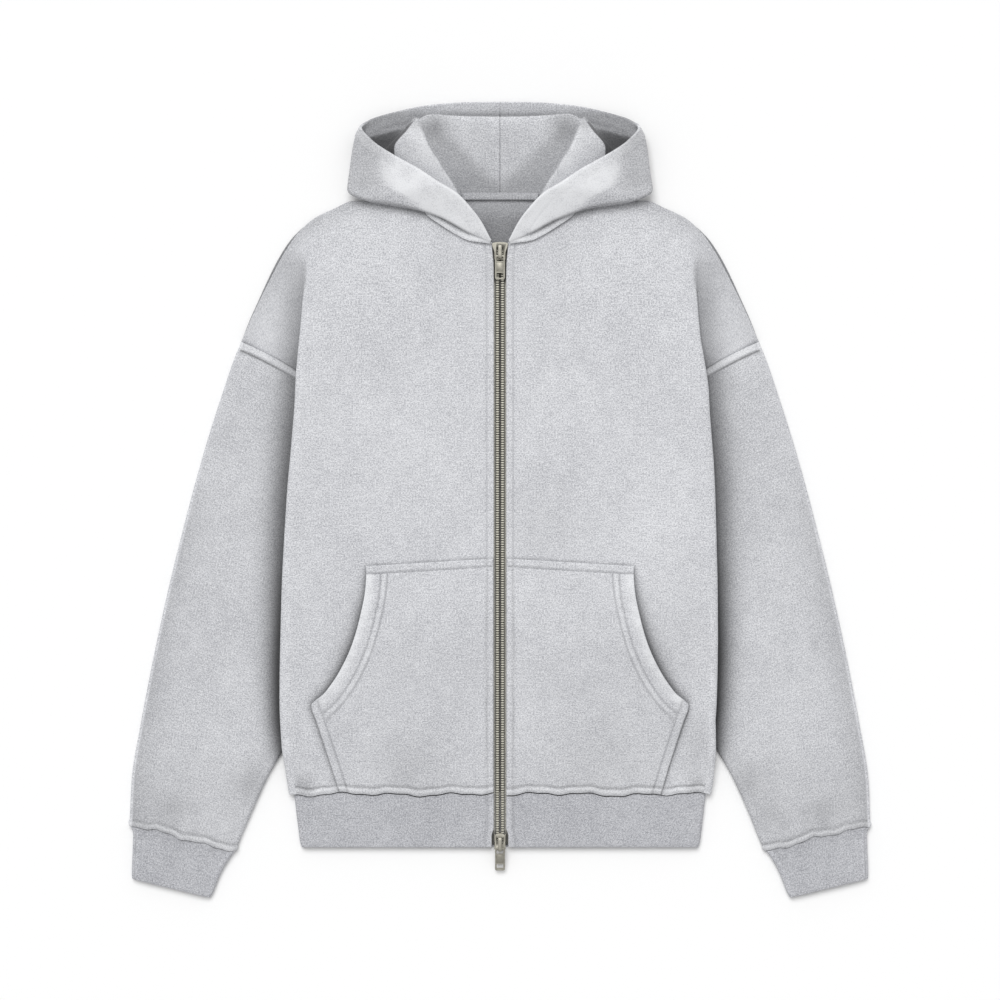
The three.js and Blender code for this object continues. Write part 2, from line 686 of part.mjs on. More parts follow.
function box(side, outNear, outFar, downHigh, downLow, low, high) {
  const y = (down) => (DOWN_OF_Y_ZERO - down) * UNIT;
  const x = [side * outNear * UNIT, side * outFar * UNIT];
  const [a, b] = [Math.min(...x), Math.max(...x)];
  const outline = [
    [a, y(downLow)],
    [b, y(downLow)],
    [b, y(downHigh)],
    [a, y(downHigh)],
  ];
  return plate(outline, low, high);
}

Object.entries(SIDES).forEach(([label, side]) => {
  const tapeOut = CHAIN_OUT + SEAM_GAP / UNIT;
  const [under, over] = [TAPE_Z - TAPE / 2, TAPE_Z + TAPE / 2];
  const tape = box(side, tapeOut, TAPE_OUT, TAPE_TOP_DOWN, TAPE_END_DOWN, under, over);
  add("zip_tape_" + label, tape, METAL_GREY, 0.9);
  const near = SEAM_GAP / 2 / UNIT;
  const chain = box(side, near, CHAIN_OUT, CHAIN_TOP_DOWN, CHAIN_END_DOWN, CHAIN_LOW, CHAIN_HIGH);
  add("zip_chain_" + label, chain, METAL_GREY, 0.4, 0.9);
});

// Sliders and their pulls.

// A slider is a top plate, a bottom plate, a wedge that joins them beyond the end of the chain, and a
// bail bridging the top plate, in which the pull swings.
const SLIDERS = {
  top: { end: 242, wedge: [243, 247.4], mouth: 246, waist: 252.5, plateEnd: 260, wide: 10.4, axis: 256.2 },
  bottom: {
    end: 850.6,
    wedge: [845.2, 849.6],
    mouth: 846,
    waist: 842,
    plateEnd: 833.5,
    wide: 6.2,
    axis: 848.6,
  },
};
// Half widths, in millimetres: the plates beyond their waist, and the wedge.
const PLATE_NARROW = 6;
const WEDGE_HALF = 2.6;
// The bottom plate's width as a part of the top plate's.
const BASE_PART = 0.86;
// How far the joined pieces of a slider reach into each other.
const SUNK = 0.2;
const PLATE_LOW = 8.9;
const PLATE_HIGH = 10.1;
const BASE_LOW = 2.7;
const BASE_HIGH = 3.6;
const AXIS_Z = 12.4;
const BAIL_HALF = 1.9;
// The bail, from the pull's axis: its near foot, its far foot, their thickness, and its bridge.
const BAIL_NEAR = -2.9;
const BAIL_FAR = 12.6;
const BAIL_THICK = 1.2;
const BRIDGE_LOW = 1.4;
const BRIDGE_HIGH = 2.4;
const PULL_THICK = 1.6;
const PULL_HALF = 5.2;
const PULL_LENGTH = 25.5;
const HOLE_HALF = 2.6;
const HOLE_NEAR = 1.0;
const HOLE_FAR = 5.4;
const PULL_CORNER = 1.2;
const PULL_TOP = 1.1;
const REST_TILT = { top: 3, bottom: 17 };

const yOf = (down) => (DOWN_OF_Y_ZERO - down) * UNIT;

function slider(s) {
  const half = [
    [s.wide * 0.35, yOf(s.end)],
    [s.wide, yOf(mix(s.end, s.mouth, 0.2))],
    [s.wide * 0.97, yOf(s.mouth)],
    [PLATE_NARROW, yOf(s.waist)],
    [PLATE_NARROW, yOf(s.plateEnd)],
  ];
  const outline = [...half, ...[...half].reverse().map(([x, y]) => [-x, y])];
  const baseOutline = outline.map(([x, y]) => [x * BASE_PART, y]);
  const oblong = (halfWide, a, b) => [
    [-halfWide, a],
    [halfWide, a],
    [halfWide, b],
    [-halfWide, b],
  ];
  const wedge = oblong(WEDGE_HALF, yOf(s.wedge[1]), yOf(s.wedge[0]));
  const near = yOf(s.axis) + BAIL_NEAR;
  const far = yOf(s.axis) + BAIL_FAR;
  const top = AXIS_Z + BRIDGE_HIGH;
  return joined([
    plate(outline, PLATE_LOW, PLATE_HIGH),
    plate(baseOutline, BASE_LOW, BASE_HIGH),
    plate(wedge, BASE_HIGH - SUNK, PLATE_LOW + SUNK),
    plate(oblong(BAIL_HALF, near, near + BAIL_THICK), PLATE_HIGH - SUNK, top),
    plate(oblong(BAIL_HALF, near, far), AXIS_Z + BRIDGE_LOW, top),
    plate(oblong(BAIL_HALF, far - BAIL_THICK, far), PLATE_HIGH - SUNK, top),
  ]);
}

// A flat tab with a hole near its end. The bar above the hole is the pull's axle.
function pull() {
  const high = PULL_TOP;
  const low = PULL_TOP - PULL_LENGTH;
  const outline = [
    [-PULL_HALF + PULL_CORNER, high],
    [-PULL_HALF, high - PULL_CORNER],
    [-PULL_HALF, low + PULL_CORNER],
    [-PULL_HALF + PULL_CORNER, low],
    [PULL_HALF - PULL_CORNER, low],
    [PULL_HALF, low + PULL_CORNER],
    [PULL_HALF, high - PULL_CORNER],
    [PULL_HALF - PULL_CORNER, high],
  ];
  const hole = [
    [-HOLE_HALF, -HOLE_FAR],
    [HOLE_HALF, -HOLE_FAR],
    [HOLE_HALF, -HOLE_NEAR],
    [-HOLE_HALF, -HOLE_NEAR],
  ];
  return plate(outline, -PULL_THICK / 2, PULL_THICK / 2, [hole]);
}

Object.entries(SLIDERS).forEach(([label, s]) => {
  add("slider_" + label, slider(s), METAL_GREY, 0.35, 0.9);
  const tab = pull();
  tab.rotateX(THREE.MathUtils.degToRad(REST_TILT[label]));
  tab.translate(0, yOf(s.axis), AXIS_Z);
  add("pull_" + label, tab, METAL_GREY, 0.35, 0.9);
});

export default garment;
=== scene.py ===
# %% [markdown]
# A zip up hoodie lies flat on a pale table, face up. The imported model gives every piece of cloth as a
# plain solid of the right size. This script dresses those solids: it makes each piece again from the
# same layout tables with a finer grid, and adds rounded edges, soft creases, seams, stitches and teeth.
# The first step loads the solids and moves each into place in its own points.

import math
from types import SimpleNamespace
import bmesh
import bpy
import numpy as np
from mathutils import Matrix, Vector, noise


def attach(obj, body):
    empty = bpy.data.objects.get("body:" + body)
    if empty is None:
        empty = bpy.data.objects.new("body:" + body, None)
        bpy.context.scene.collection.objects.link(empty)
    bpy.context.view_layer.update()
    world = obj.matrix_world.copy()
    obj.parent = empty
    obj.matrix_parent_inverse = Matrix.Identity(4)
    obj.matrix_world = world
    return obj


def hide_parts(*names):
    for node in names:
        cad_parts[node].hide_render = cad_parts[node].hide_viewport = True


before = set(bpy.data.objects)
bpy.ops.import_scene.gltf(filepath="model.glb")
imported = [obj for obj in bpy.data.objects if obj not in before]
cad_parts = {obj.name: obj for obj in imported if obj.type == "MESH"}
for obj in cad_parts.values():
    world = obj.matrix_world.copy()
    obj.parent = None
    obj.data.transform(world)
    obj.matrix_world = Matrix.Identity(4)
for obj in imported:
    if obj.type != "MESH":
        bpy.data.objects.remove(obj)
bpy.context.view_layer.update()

# %% [markdown]
# A garment is drawn by its maker as a flat layout with named lines: where the side folds stand, how
# the armhole runs, where the pocket opens. The same lines are used here. Each table gives places in
# layout units, out from the centre line and down the sheet, and heights in millimetres. Such tables
# keep the shape easy to read and to change, which a list of vertices does not.

# %% Layout tables
UNIT = 1.05
DOWN_OF_Y_ZERO = 499.74
CLOTH = 2.2
RIB = 2.4
SEAM_GAP = 0.3
NECK_DOWN = 242
HEM_SEAM_DOWN = 792
ZIP_EDGE_OUT = 6.2
ZIP_EDGE_Z = 7.3
LYING_Z = CLOTH * 1.5 + SEAM_GAP
UNDERARM_DOWN = 400
TOP_REACH = 105
TOP_ROUNDING = 55
CREST_INSET = 7
CHEST_RISE = 3.2
POCKET_RISE = 7.5
POCKET_CLEAR = 0.7
SIDES = {"left": -1, "right": 1}


def table(names, rows):
    """Rows of a table with named columns, as one array for each name."""
    columns = np.array(rows, float).T
    return dict(zip(names.split(), columns))


FOLD = table("down out crest under leg formed", [
    (242, 200, 6.0, 4.4, 4, 0),
    (262, 198.5, 9.0, 5.2, 6, 0.08),
    (285, 197.5, 12.2, 7.0, 9, 0.3),
    (312, 198.5, 15.4, 9.6, 13, 0.65),
    (340, 200, 18.0, 12, 17, 0.92),
    (360, 201.5, 19.2, 13, 19.5, 1),
    (378, 203, 20, 13.6, 22, 1),
    (400, 204, 20.6, 14, 26, 1),
    (440, 207, 21, 14, 25, 1),
    (498, 212, 21, 14, 24, 1),
    (595, 217, 21, 14, 21, 1),
    (700, 219, 21, 14, 18, 1),
    (747, 217, 18.4, 12, 14, 1),
    (770, 213.5, 14, 8.4, 12, 1),
    (792, 210, 9.8, 5.6, 10, 1),
])
FRONT_TOP = table("out down z", [
    (6, 242, 7.3), (14, 242, 7.3), (30, 239.5, 7.5), (45, 231, 7.6), (60, 221, 7.4), (74, 212.5, 7.0),
    (92, 206, 5.6), (120, 202, 4.2), (147, 200.5, LYING_Z), (166, 208, LYING_Z),
    (184, 216.5, LYING_Z), (200, 229, LYING_Z),
])
SHOULDER = table("share out down", [
    (0, 200, 229), (0.12, 210, 239.5), (0.3, 223, 260), (0.47, 233, 280), (0.64, 242, 300),
    (0.81, 251, 320), (1, 259.5, 342),
])
ARMHOLE = {"top_out": 259.5, "top_down": 342, "end_out": 178, "end_down": 388, "bow": 3}
ARMHOLE_LIFT = table("share z", [(0, LYING_Z), (0.25, 5.2), (0.5, 5.6), (0.75, 5.4), (1, LYING_Z)])
SLEEVE = table("share outer_out outer_down inner_out inner_down height bow", [
    (0, 259.3, 341.5, 178, 387.6, 7.2, 3),
    (0.04, 266, 358, 180, 404, 7.8, 3),
    (0.12, 277, 390, 182.5, 436, 8.2, 3),
    (0.24, 293, 440, 187, 484, 8.2, 2),
    (0.36, 307.5, 491, 191, 530, 8.2, 0),
    (0.48, 320, 539, 195, 580, 8.2, 0),
    (0.6, 332, 588, 198.5, 632, 8.2, 0),
    (0.72, 343.5, 640, 203, 688, 8.2, 0),
    (0.82, 353, 687, 213, 740, 8.2, 0),
    (0.9, 361, 730, 233, 778, 8.2, 0),
    (0.96, 369, 780, 251, 818, 8.2, 0),
    (1, 371, 824, 264.5, 850.5, 7.8, 0),
])
CUFF = table("share outer_out outer_down inner_out inner_down height bow", [
    (0, 369.6, 824.9, 266.2, 850.6, 7.6, 0),
    (0.12, 367.5, 831.5, 271, 856.5, 8.6, 0),
    (0.5, 368, 851, 280, 874, 8.6, 0),
    (0.9, 368.8, 874, 288, 894, 8.2, 0),
    (1, 368.5, 879, 290.5, 898, 7.4, 0),
])
POCKET = table("down out", [
    (566, 134), (575, 134), (590, 135), (616, 140), (644, 148), (670, 160), (692, 175), (706, 189),
    (720, 184.3), (750, 174.5), (791, 161),
])
HEM = table("share down out z", [
    (0, 792.3, 206, 7.2), (0.15, 801, 205, 7.4), (0.6, 828, 202, 7.4), (0.92, 843, 200, 7.3),
    (1, 847.5, 198.5, 7.1),
])
HOOD_PLACES = ("neck", "ridge", "valley", "fold", "rim")
HOOD = {
    "neck": table("at out down z", [
        (0, 0, 196.2, 1.5), (1, 22, 196.2, 1.6), (2, 40, 196.4, 2.2), (3, 52, 198, 4.4),
        (4, 62, 202, 7), (5, 70, 206.5, 9.8), (6, 75, 209.5, 10.8), (7, 76, 211.5, 10.8),
        (8, 74, 213, 10.8), (9, 70, 217.5, 10.8), (10, 60, 224.5, 10.8), (11, 45, 234, 10.8),
        (12, 30, 240.8, 10.8), (13, 9.5, 243.3, 10.8)]),
    "ridge": table("at out down z", [
        (0, 0, 120, 26), (1, 43, 119, 26), (2, 67, 117.5, 27), (3, 78, 120.5, 28), (4, 91, 133.5, 26),
        (5, 103.5, 149.5, 22), (6, 103, 166, 18), (7, 97, 180, 15), (8, 89, 193, 13.5), (9, 79, 204, 12.6),
        (10, 65, 214, 12.4), (11, 48, 224, 12.4), (12, 32, 234, 12.4), (13, 9.4, 242.5, 11.4)]),
    "valley": table("at out down z", [
        (0, 0, 123, 6), (1, 40, 123, 6), (2, 70, 123, 6), (3, 92, 130, 6), (4, 110, 144, 5),
        (5, 123, 158, 5), (6, 125, 174, 6), (7, 120, 187, 7.5), (8, 109, 197, 9.5), (9, 96, 205, 11),
        (10, 75, 211, 12), (11, 53, 219, 13), (12, 33, 231.5, 13.4), (13, 9.2, 241.8, 12)]),
    "fold": table("at out down z", [
        (0, 0, 109, 6), (1, 39, 109.5, 6), (2, 72, 111.5, 6), (3, 102, 119, 7), (4, 127, 129, 8),
        (5, 143, 137, 12), (6, 146.5, 152, 15), (7, 148.5, 170, 16), (8, 151, 190, 16.5),
        (9, 136, 199, 17), (10, 94, 206, 17.5), (11, 60, 217, 17), (12, 35, 229.5, 16),
        (13, 9, 241, 12.6)]),
    "rim": table("at out down z", [
        (0, 0, 101.5, 8), (1, 35, 102, 8), (2, 72, 105, 8), (3, 106, 112, 9), (4, 131, 120.5, 12),
        (5, 138.5, 128.5, 23), (6, 126.5, 143, 30), (7, 105, 157.5, 34), (8, 80.5, 171, 36), (9, 61, 184, 36),
        (10, 43, 195, 34), (11, 30, 208, 29), (12, 18.6, 222.5, 22), (13, 8.8, 240.3, 13.6)]),
}
print("layout tables for", len(HOOD["rim"]["at"]), "hood stations")

# %% [markdown]
# A curve has to run smoothly between the rows of a table and never swing past them, or cloth would
# bulge where nothing does. A monotone cubic does that. It is written once, for whole arrays, because a
# fine grid of cloth has tens of thousands of points.

# %% Curves through the tables


def track(rows, key, value):
    """Monotone cubic through one column of a table."""
    xs, ys = rows[key], rows[value]
    slope = np.diff(ys) / np.diff(xs)
    bend = np.zeros(len(xs))
    bend[0], bend[-1] = slope[0], slope[-1]
    before, after = slope[:-1], slope[1:]
    same = before * after > 0
    bend[1:-1][same] = 2 * (before * after)[same] / (before + after)[same]

    def at(x):
        x = np.clip(np.asarray(x, float), xs[0], xs[-1])
        i = np.clip(np.searchsorted(xs, x, side="right") - 1, 0, len(xs) - 2)
        h = xs[i + 1] - xs[i]
        t = (x - xs[i]) / h
        rise = ys[i + 1] - ys[i]
        a = h * bend[i] - rise
        b = rise - h * bend[i + 1]
        return ys[i] + t * rise + t * (1 - t) * (a * (1 - t) + b * t)

    return at


def smooth(x):
    t = np.clip(x, 0, 1)
    return t * t * (3 - 2 * t)


def mix(a, b, t):
    return a + (b - a) * t


def arch(share):
    return 4 * share * (1 - share)


def place(side, out, down, z):
    """Places in layout units on one side of the garment, as points in millimetres."""
    out, down, z = np.broadcast_arrays(np.asarray(out, float), down, z)
    return np.stack([side * out * UNIT, (DOWN_OF_Y_ZERO - down) * UNIT, z], axis=-1)


def spline_rows(keys, counts):
    """Each row of key points drawn through with a monotone cubic, counts steps in each span."""
    span = np.linalg.norm(np.diff(keys, axis=1), axis=2)[..., None] + 1e-9
    slope = np.diff(keys, axis=1) / span
    bend = np.concatenate([slope[:, :1], np.zeros_like(slope[:, 1:]), slope[:, -1:]], axis=1)
    before, after = slope[:, :-1], slope[:, 1:]
    product = before * after
    total = np.where(product > 0, before + after, 1)
    bend[:, 1:-1] = np.where(product > 0, 2 * product / total, 0)
    parts = []
    for k, count in enumerate(counts):
        t = np.linspace(0, 1, count, endpoint=False)[None, :, None]
        h = span[:, k:k + 1]
        rise = keys[:, k + 1:k + 2] - keys[:, k:k + 1]
        a = h * bend[:, k:k + 1] - rise
        b = rise - h * bend[:, k + 1:k + 2]
        parts.append(keys[:, k:k + 1] + t * rise + t * (1 - t) * (a * (1 - t) + b * t))
    parts.append(keys[:, -1:])
    return np.concatenate(parts, axis=1)


print("shoulder at half way:", float(track(SHOULDER, "share", "out")(0.5)))

# %% [markdown]
# Cloth is a wall. Its middle is a grid of points, and its two faces stand half the thickness away on
# each side. At a free edge, a sewn hem turns over and is round, so the wall thins there along a
# quarter circle, over a few very narrow rows. The same function writes the UV map in metres of cloth,
# so that a knit can follow a sleeve, and two values of each point for the colour: one makes a place
# paler, partly as washed-out wear on edges and partly as a painted highlight on raised seams and edges,
# and the inner one is painted shade, which makes a place darker, as deep inside a crease.

# %% Walls of cloth
ROUND = 1.1
EDGE_AWAY = np.array([0, 0.18, 0.45, 0.8, 1.15]) * ROUND
EDGE_FULL = [0.3, 0.62, 0.86, 0.97, 1]


def edged(shares, length, start=True, end=True):
    """Shares of a row with narrow steps at its ends, and the part of the thickness that is left there."""
    shares = np.asarray(shares, float)
    full = np.ones(len(shares))
    if start:
        steps = EDGE_AWAY / length
        keep = shares > steps[-1] * 1.6
        shares = np.concatenate([steps, shares[keep]])
        full = np.concatenate([EDGE_FULL, full[keep]])
    if end:
        steps = (1 - EDGE_AWAY / length)[::-1]
        keep = shares < 1 - (1 - steps[0]) * 1.6
        shares = np.concatenate([shares[keep], steps])
        full = np.concatenate([full[keep], EDGE_FULL[::-1]])
    return shares, full


def grid_normals(grid, closed=False, up_at=None):
    """Unit normals of a grid. They point up at the place up_at."""
    if closed:
        along = np.roll(grid, -1, 1) - np.roll(grid, 1, 1)
    else:
        along = np.concatenate([grid[:, 1:2] - grid[:, :1], grid[:, 2:] - grid[:, :-2],
                                grid[:, -1:] - grid[:, -2:-1]], axis=1)
    down = np.concatenate([grid[1:2] - grid[:1], grid[2:] - grid[:-2], grid[-1:] - grid[-2:-1]])
    n = np.cross(along, down)
    n /= np.linalg.norm(n, axis=2, keepdims=True) + 1e-12
    if up_at is not None and n[up_at][2] < 0:
        n = -n
    return n


def new_object(name, data):
    obj = bpy.data.objects.new(name, data)
    bpy.context.collection.objects.link(obj)
    return obj


def mesh_between(name, face, back, closed=False, wear=0.0, uv=None, inner=0.0):
    """Closed mesh between two grids in millimetres, as an object in metres."""
    rows, cols = face.shape[:2]
    points = np.concatenate([face.reshape(-1, 3), back.reshape(-1, 3)]) * 0.001
    spans = cols if closed else cols - 1
    i, j = np.meshgrid(np.arange(rows - 1), np.arange(spans), indexing="ij")
    a = i * cols + j
    b = i * cols + (j + 1) % cols
    c = b + cols
    d = a + cols
    base = rows * cols
    quads = [np.stack([a, b, c, d], -1).reshape(-1, 4),
             np.stack([base + a, base + d, base + c, base + b], -1).reshape(-1, 4)]
    j = np.arange(spans)
    k = (j + 1) % cols
    last = (rows - 1) * cols
    quads.append(np.stack([k, j, base + j, base + k], -1))
    quads.append(np.stack([last + j, last + k, base + last + k, base + last + j], -1))
    if not closed:
        i = np.arange(rows - 1) * cols
        e = cols - 1
        quads.append(np.stack([i, i + cols, base + i + cols, base + i], -1))
        quads.append(np.stack([i + cols + e, i + e, base + i + e, base + i + cols + e], -1))
    quads = np.concatenate(quads)
    p = points[quads]
    volume = np.einsum("ij,ij->", p[:, 0], np.cross(p[:, 1], p[:, 2]))
    volume += np.einsum("ij,ij->", p[:, 0], np.cross(p[:, 2], p[:, 3]))
    if volume < 0:
        quads = quads[:, ::-1]
    mesh = bpy.data.meshes.new(name)
    mesh.from_pydata(points.tolist(), [], quads.tolist())
    if uv is not None:
        corners = np.concatenate([uv.reshape(-1, 2)] * 2)[quads.reshape(-1)]
        mesh.uv_layers.new(name="cloth").data.foreach_set("uv", corners.reshape(-1))
    # The first value paints places paler, partly washed-out wear and partly painted highlight; the inner
    # value is painted shade.
    for key, given in (("wear", wear), ("inner", inner)):
        attribute = mesh.attributes.new(key, "FLOAT", "POINT")
        values = np.broadcast_to(given, (rows, cols)).reshape(-1)
        attribute.data.foreach_set("value", np.concatenate([values, values]).astype(np.float32))
    mesh.shade_smooth()
    mesh.validate()
    return new_object(name, mesh)


def row_length(grid):
    """Distance of each point of a grid from the first one of its row, in millimetres."""
    step = np.linalg.norm(np.diff(grid, axis=1), axis=2)
    return np.concatenate([np.zeros((len(grid), 1)), np.cumsum(step, axis=1)], axis=1)


def cloth_uv(grid):
    """Distance over the cloth in metres, across and down."""
    across = row_length(grid)
    down = np.linalg.norm(np.diff(grid, axis=0), axis=2).mean(axis=1)
    down = np.concatenate([[0], np.cumsum(down)])[:, None] * np.ones(grid.shape[1])
    return np.stack([across, down], -1) * 0.001


def wall(name, grid, thickness, closed=False, up_at=(3, 3), relief=0.0, relief_back=0.0, wear=0.0,
         inner=0.0, uv=None):
    """Cloth of a thickness about a grid, with relief on its two faces. Returns it and its face's points."""
    n = grid_normals(grid, closed, up_at)
    half = np.broadcast_to(np.asarray(thickness, float) / 2, grid.shape[:2])[..., None]
    face = grid + n * (half + np.broadcast_to(relief, grid.shape[:2])[..., None])
    back = grid - n * (half + np.broadcast_to(relief_back, grid.shape[:2])[..., None])
    uv = cloth_uv(grid) if uv is None else uv
    return mesh_between(name, face, back, closed, wear, uv, inner), face


# Lines of stitching, as points in millimetres on the surface of the cloth.
STITCHES = []

print("an edge of", len(EDGE_FULL), "narrow rows")

# %% [markdown]
# Heavy fleece lies almost smooth, but never quite: it keeps wide, low swells, a few soft creases where
# it was folded, and small puckers along a seam. The swells come from a slow noise, and each crease is
# listed in a table with its two ends, width and height, so that they are uneven as in real
# cloth. A negative height is a trough.

# %% Creases and swells


def swells(points, scale, height, seed):
    """Slow noise over points in millimetres."""
    flat = points.reshape(-1, 3)
    offset = Vector((seed * 7.31, seed * 3.17, seed * 5.73))
    values = [noise.noise(Vector((x / scale, y / scale, 0.2 * z / scale)) + offset) for x, y, z in flat]
    return np.array(values).reshape(points.shape[:-1]) * height


def creases(points, side, rows):
    """Soft ridges and troughs between two places in layout units."""
    x = points[..., 0] / UNIT * side
    y = DOWN_OF_Y_ZERO - points[..., 1] / UNIT
    total = np.zeros(points.shape[:-1])
    for out_a, down_a, out_b, down_b, width, height in rows:
        dx, dy = out_b - out_a, down_b - down_a
        length = math.hypot(dx, dy)
        t = ((x - out_a) * dx + (y - down_a) * dy) / length ** 2
        bow = 0.06 * length * np.sin(np.clip(t, 0, 1) * math.pi)
        away = ((x - out_a) * dy - (y - down_a) * dx) / length - bow
        fade = smooth(t / 0.35) * smooth((1 - t) / 0.45)
        total += height * fade * np.exp(-(away / width) ** 2)
    return total


def near(distance, width, power=2.0):
    """Falls from 1 at a line to 0 away from it."""
    return np.exp(-(np.abs(distance) / width) ** power)


def pucker_wave(out, side):
    """The two slow waves of cloth that is gathered into the hem band."""
    return np.sin(out * 0.31 + 1.3 * side) * 0.5 + np.sin(out * 0.115 + 1.1 * side)


# A gathered seam's raised middle and the line beside it, in millimetres from the edge of the cloth.
ROPE_AT = 3.8
ROPE_LINE = 7.5


def rope(distance, height=1.2):
    """The round raised seam along a gathered edge, by the distance from that edge in millimetres."""
    return height * near(distance - ROPE_AT, 2.3) - 0.45 * near(distance - ROPE_LINE, 1.0)


def rope_shade(distance):
    """Painted shade in lines on both sides of a raised seam."""
    return 0.4 * near(distance - ROPE_LINE, 1.1) + 0.08 * near(distance, 1.2)


SEAM_DROP = 2.4


def seam_wave(out, phase):
    """How far a gathered seam runs below its straight line, in layout units."""
    return (SEAM_DROP + 1.3 * np.sin(out * 0.115 + phase) + 0.9 * np.sin(out * 0.047 + 2 * phase)
            + 0.5 * np.sin(out * 0.29 + 3 * phase))


print("a crease at its middle:", creases(place(1, 10, 10, 0)[None], 1, [(0, 10, 20, 10, 4, 1)]))

# %% [markdown]
# Shader maths reads best as plain expressions. This small class wraps one output socket: adding or
# multiplying two of them adds the Math node that does it, and one method adds any other node. Colours
# and vectors go through Mix and Vector Math nodes, because a Math node would turn a colour grey.

# %% Shader values


class Value:
    def __init__(self, tree, socket):
        self.tree = tree
        self.socket = socket

    def node(self, kind, inputs=(), output=0, **settings):
        """Adds a node. Settings go first, then the values or links of its sockets by name or number."""
        made = self.tree.nodes.new(kind)
        for key, value in settings.items():
            if key == "stops":
                ramp = made.color_ramp.elements
                while len(ramp) < len(value):
                    ramp.new(0.5)
                for element, (position, colour) in zip(ramp, value):
                    element.position = position
                    element.color = colour
            else:
                setattr(made, key, value)
        for key, value in dict(inputs).items():
            if isinstance(value, Value):
                self.tree.links.new(value.socket, made.inputs[key])
            else:
                made.inputs[key].default_value = value
        return Value(self.tree, made.outputs[output])

    def _math(self, operation, a, b=0.0, clamp=False):
        return self.node("ShaderNodeMath", {0: a, 1: b}, operation=operation, use_clamp=clamp)

    def __add__(self, other):
        return self._math("ADD", self, other)

    __radd__ = __add__

    def __sub__(self, other):
        return self._math("SUBTRACT", self, other)

    def __rsub__(self, other):
        return self._math("SUBTRACT", other, self)

    def __mul__(self, other):
        return self._math("MULTIPLY", self, other)

    __rmul__ = __mul__

    def __truediv__(self, other):
        return self._math("DIVIDE", self, other)

    def clamped(self):
        return self._math("ADD", self, 0.0, clamp=True)

    def scaled(self, factors):
        """A vector with each of its parts multiplied."""
        return self.node("ShaderNodeVectorMath", {0: self, 1: factors}, operation="MULTIPLY")

    def between(self, low, high):
        """Two colours mixed by this value."""
        return self.node("ShaderNodeMix", {0: self, 6: low, 7: high}, output=2, data_type="RGBA")


def srgb(level_red, level_green, level_blue):
    """A screen colour from 0 to 255 as the linear colour that a shader takes."""
    def linear(level):
        c = level / 255
        return c / 12.92 if c <= 0.04045 else ((c + 0.055) / 1.055) ** 2.4
    return (linear(level_red), linear(level_green), linear(level_blue), 1.0)


def new_material(name):
    """An empty material and the output of its shader's base, ready for values."""
    material = bpy.data.materials.new(name)
    material.use_nodes = True
    shader = material.node_tree.nodes["Principled BSDF"]
    return material, material.node_tree, shader


def feed(tree, shader, key, value):
    tree.links.new(value.socket, shader.inputs[key])


print("mid grey is", round(srgb(188, 188, 188)[0], 3))

# %% [markdown]
# Heather fleece is spun from pale and darker fibres, so its grey is a fine speckle drawn out a little
# along the rows of the knit. Washing the sewn garment leaves pale, slightly cloudy places, most of all
# on seams and folded edges. The speckle is three fine noises on the UV map and the clouds are two
# slower ones on Object coordinates. One value of each point brightens it, partly as such washed-out
# wear and partly as a painted highlight on raised seams and edges, and the inner value is painted
# shade: it takes the colour towards the dark tone of cloth in shade deep in a fold. A brushed surface
# shows hardly any gloss, so roughness stays high and a bump gives it its soft grain.

# %% Cloth materials


def heather(name, dark, light, pale_tone, inside, speckle=0.5, grain=0.00012, rib_pitch=None, rib_depth=0.0):
    material, tree, shader = new_material(name)
    start = Value(tree, None)
    uv = start.node("ShaderNodeUVMap", uv_map="cloth")
    where = start.node("ShaderNodeTexCoord", output="Object")
    drawn = uv.scaled((0.75, 1.0, 1.0))
    fine = start.node("ShaderNodeTexNoise", {"Vector": drawn, "Scale": 820.0, "Detail": 3.0,
                                             "Roughness": 0.85}, noise_dimensions="2D")
    long = start.node("ShaderNodeTexNoise", {"Vector": uv.scaled((0.22, 1.0, 1.0)), "Scale": 430.0,
                                             "Detail": 2.0}, noise_dimensions="2D")
    fleck = start.node("ShaderNodeTexNoise", {"Vector": uv, "Scale": 330.0, "Detail": 1.0},
                       noise_dimensions="2D")
    cloud = start.node("ShaderNodeTexNoise", {"Vector": where, "Scale": 9.0, "Detail": 4.0,
                                              "Roughness": 0.55})
    patch = start.node("ShaderNodeTexNoise", {"Vector": where, "Scale": 60.0, "Detail": 3.0})
    tone = (fine - 0.5) * (6.4 * speckle) + (long - 0.5) * (0.9 * speckle)
    tone = tone + (fleck - 0.5) * (0.5 * speckle) + (cloud - 0.5) * 0.4 + (patch - 0.5) * 0.3 + 0.5
    # Paler places, partly washed-out wear and partly painted highlight on raised seams and edges.
    wear = start.node("ShaderNodeAttribute", output="Fac", attribute_name="wear")
    pale_patches = (wear * (patch * 1.6 + 0.1)).clamped()
    tone = (tone + pale_patches * 0.45).clamped()
    colour = tone.between(dark, light)
    colour = (pale_patches * 0.5).clamped().between(colour, pale_tone)
    # Painted shade: the inner value takes the colour towards the dark inside tone.
    painted_shade = start.node("ShaderNodeAttribute", output="Fac", attribute_name="inner")
    colour = painted_shade.clamped().between(colour, inside)
    feed(tree, shader, "Base Color", colour)
    shader.inputs["Roughness"].default_value = 0.93
    shader.inputs["Specular IOR Level"].default_value = 0.25
    shader.inputs["Sheen Weight"].default_value = 0.12
    shader.inputs["Sheen Roughness"].default_value = 0.6
    height = fine * 0.6 + fleck * 0.9 + patch * 1.2
    if rib_pitch:
        wave = start.node("ShaderNodeTexWave", {"Vector": uv, "Scale": 0.314 / rib_pitch,
                                                "Distortion": 0.25, "Detail": 1.0, "Detail Scale": 30.0},
                          output="Fac", wave_type="BANDS", bands_direction="X")
        height = height + wave * (rib_depth / grain)
    bump = start.node("ShaderNodeBump", {"Height": height, "Distance": grain, "Strength": 1.0})
    feed(tree, shader, "Normal", bump)
    return material


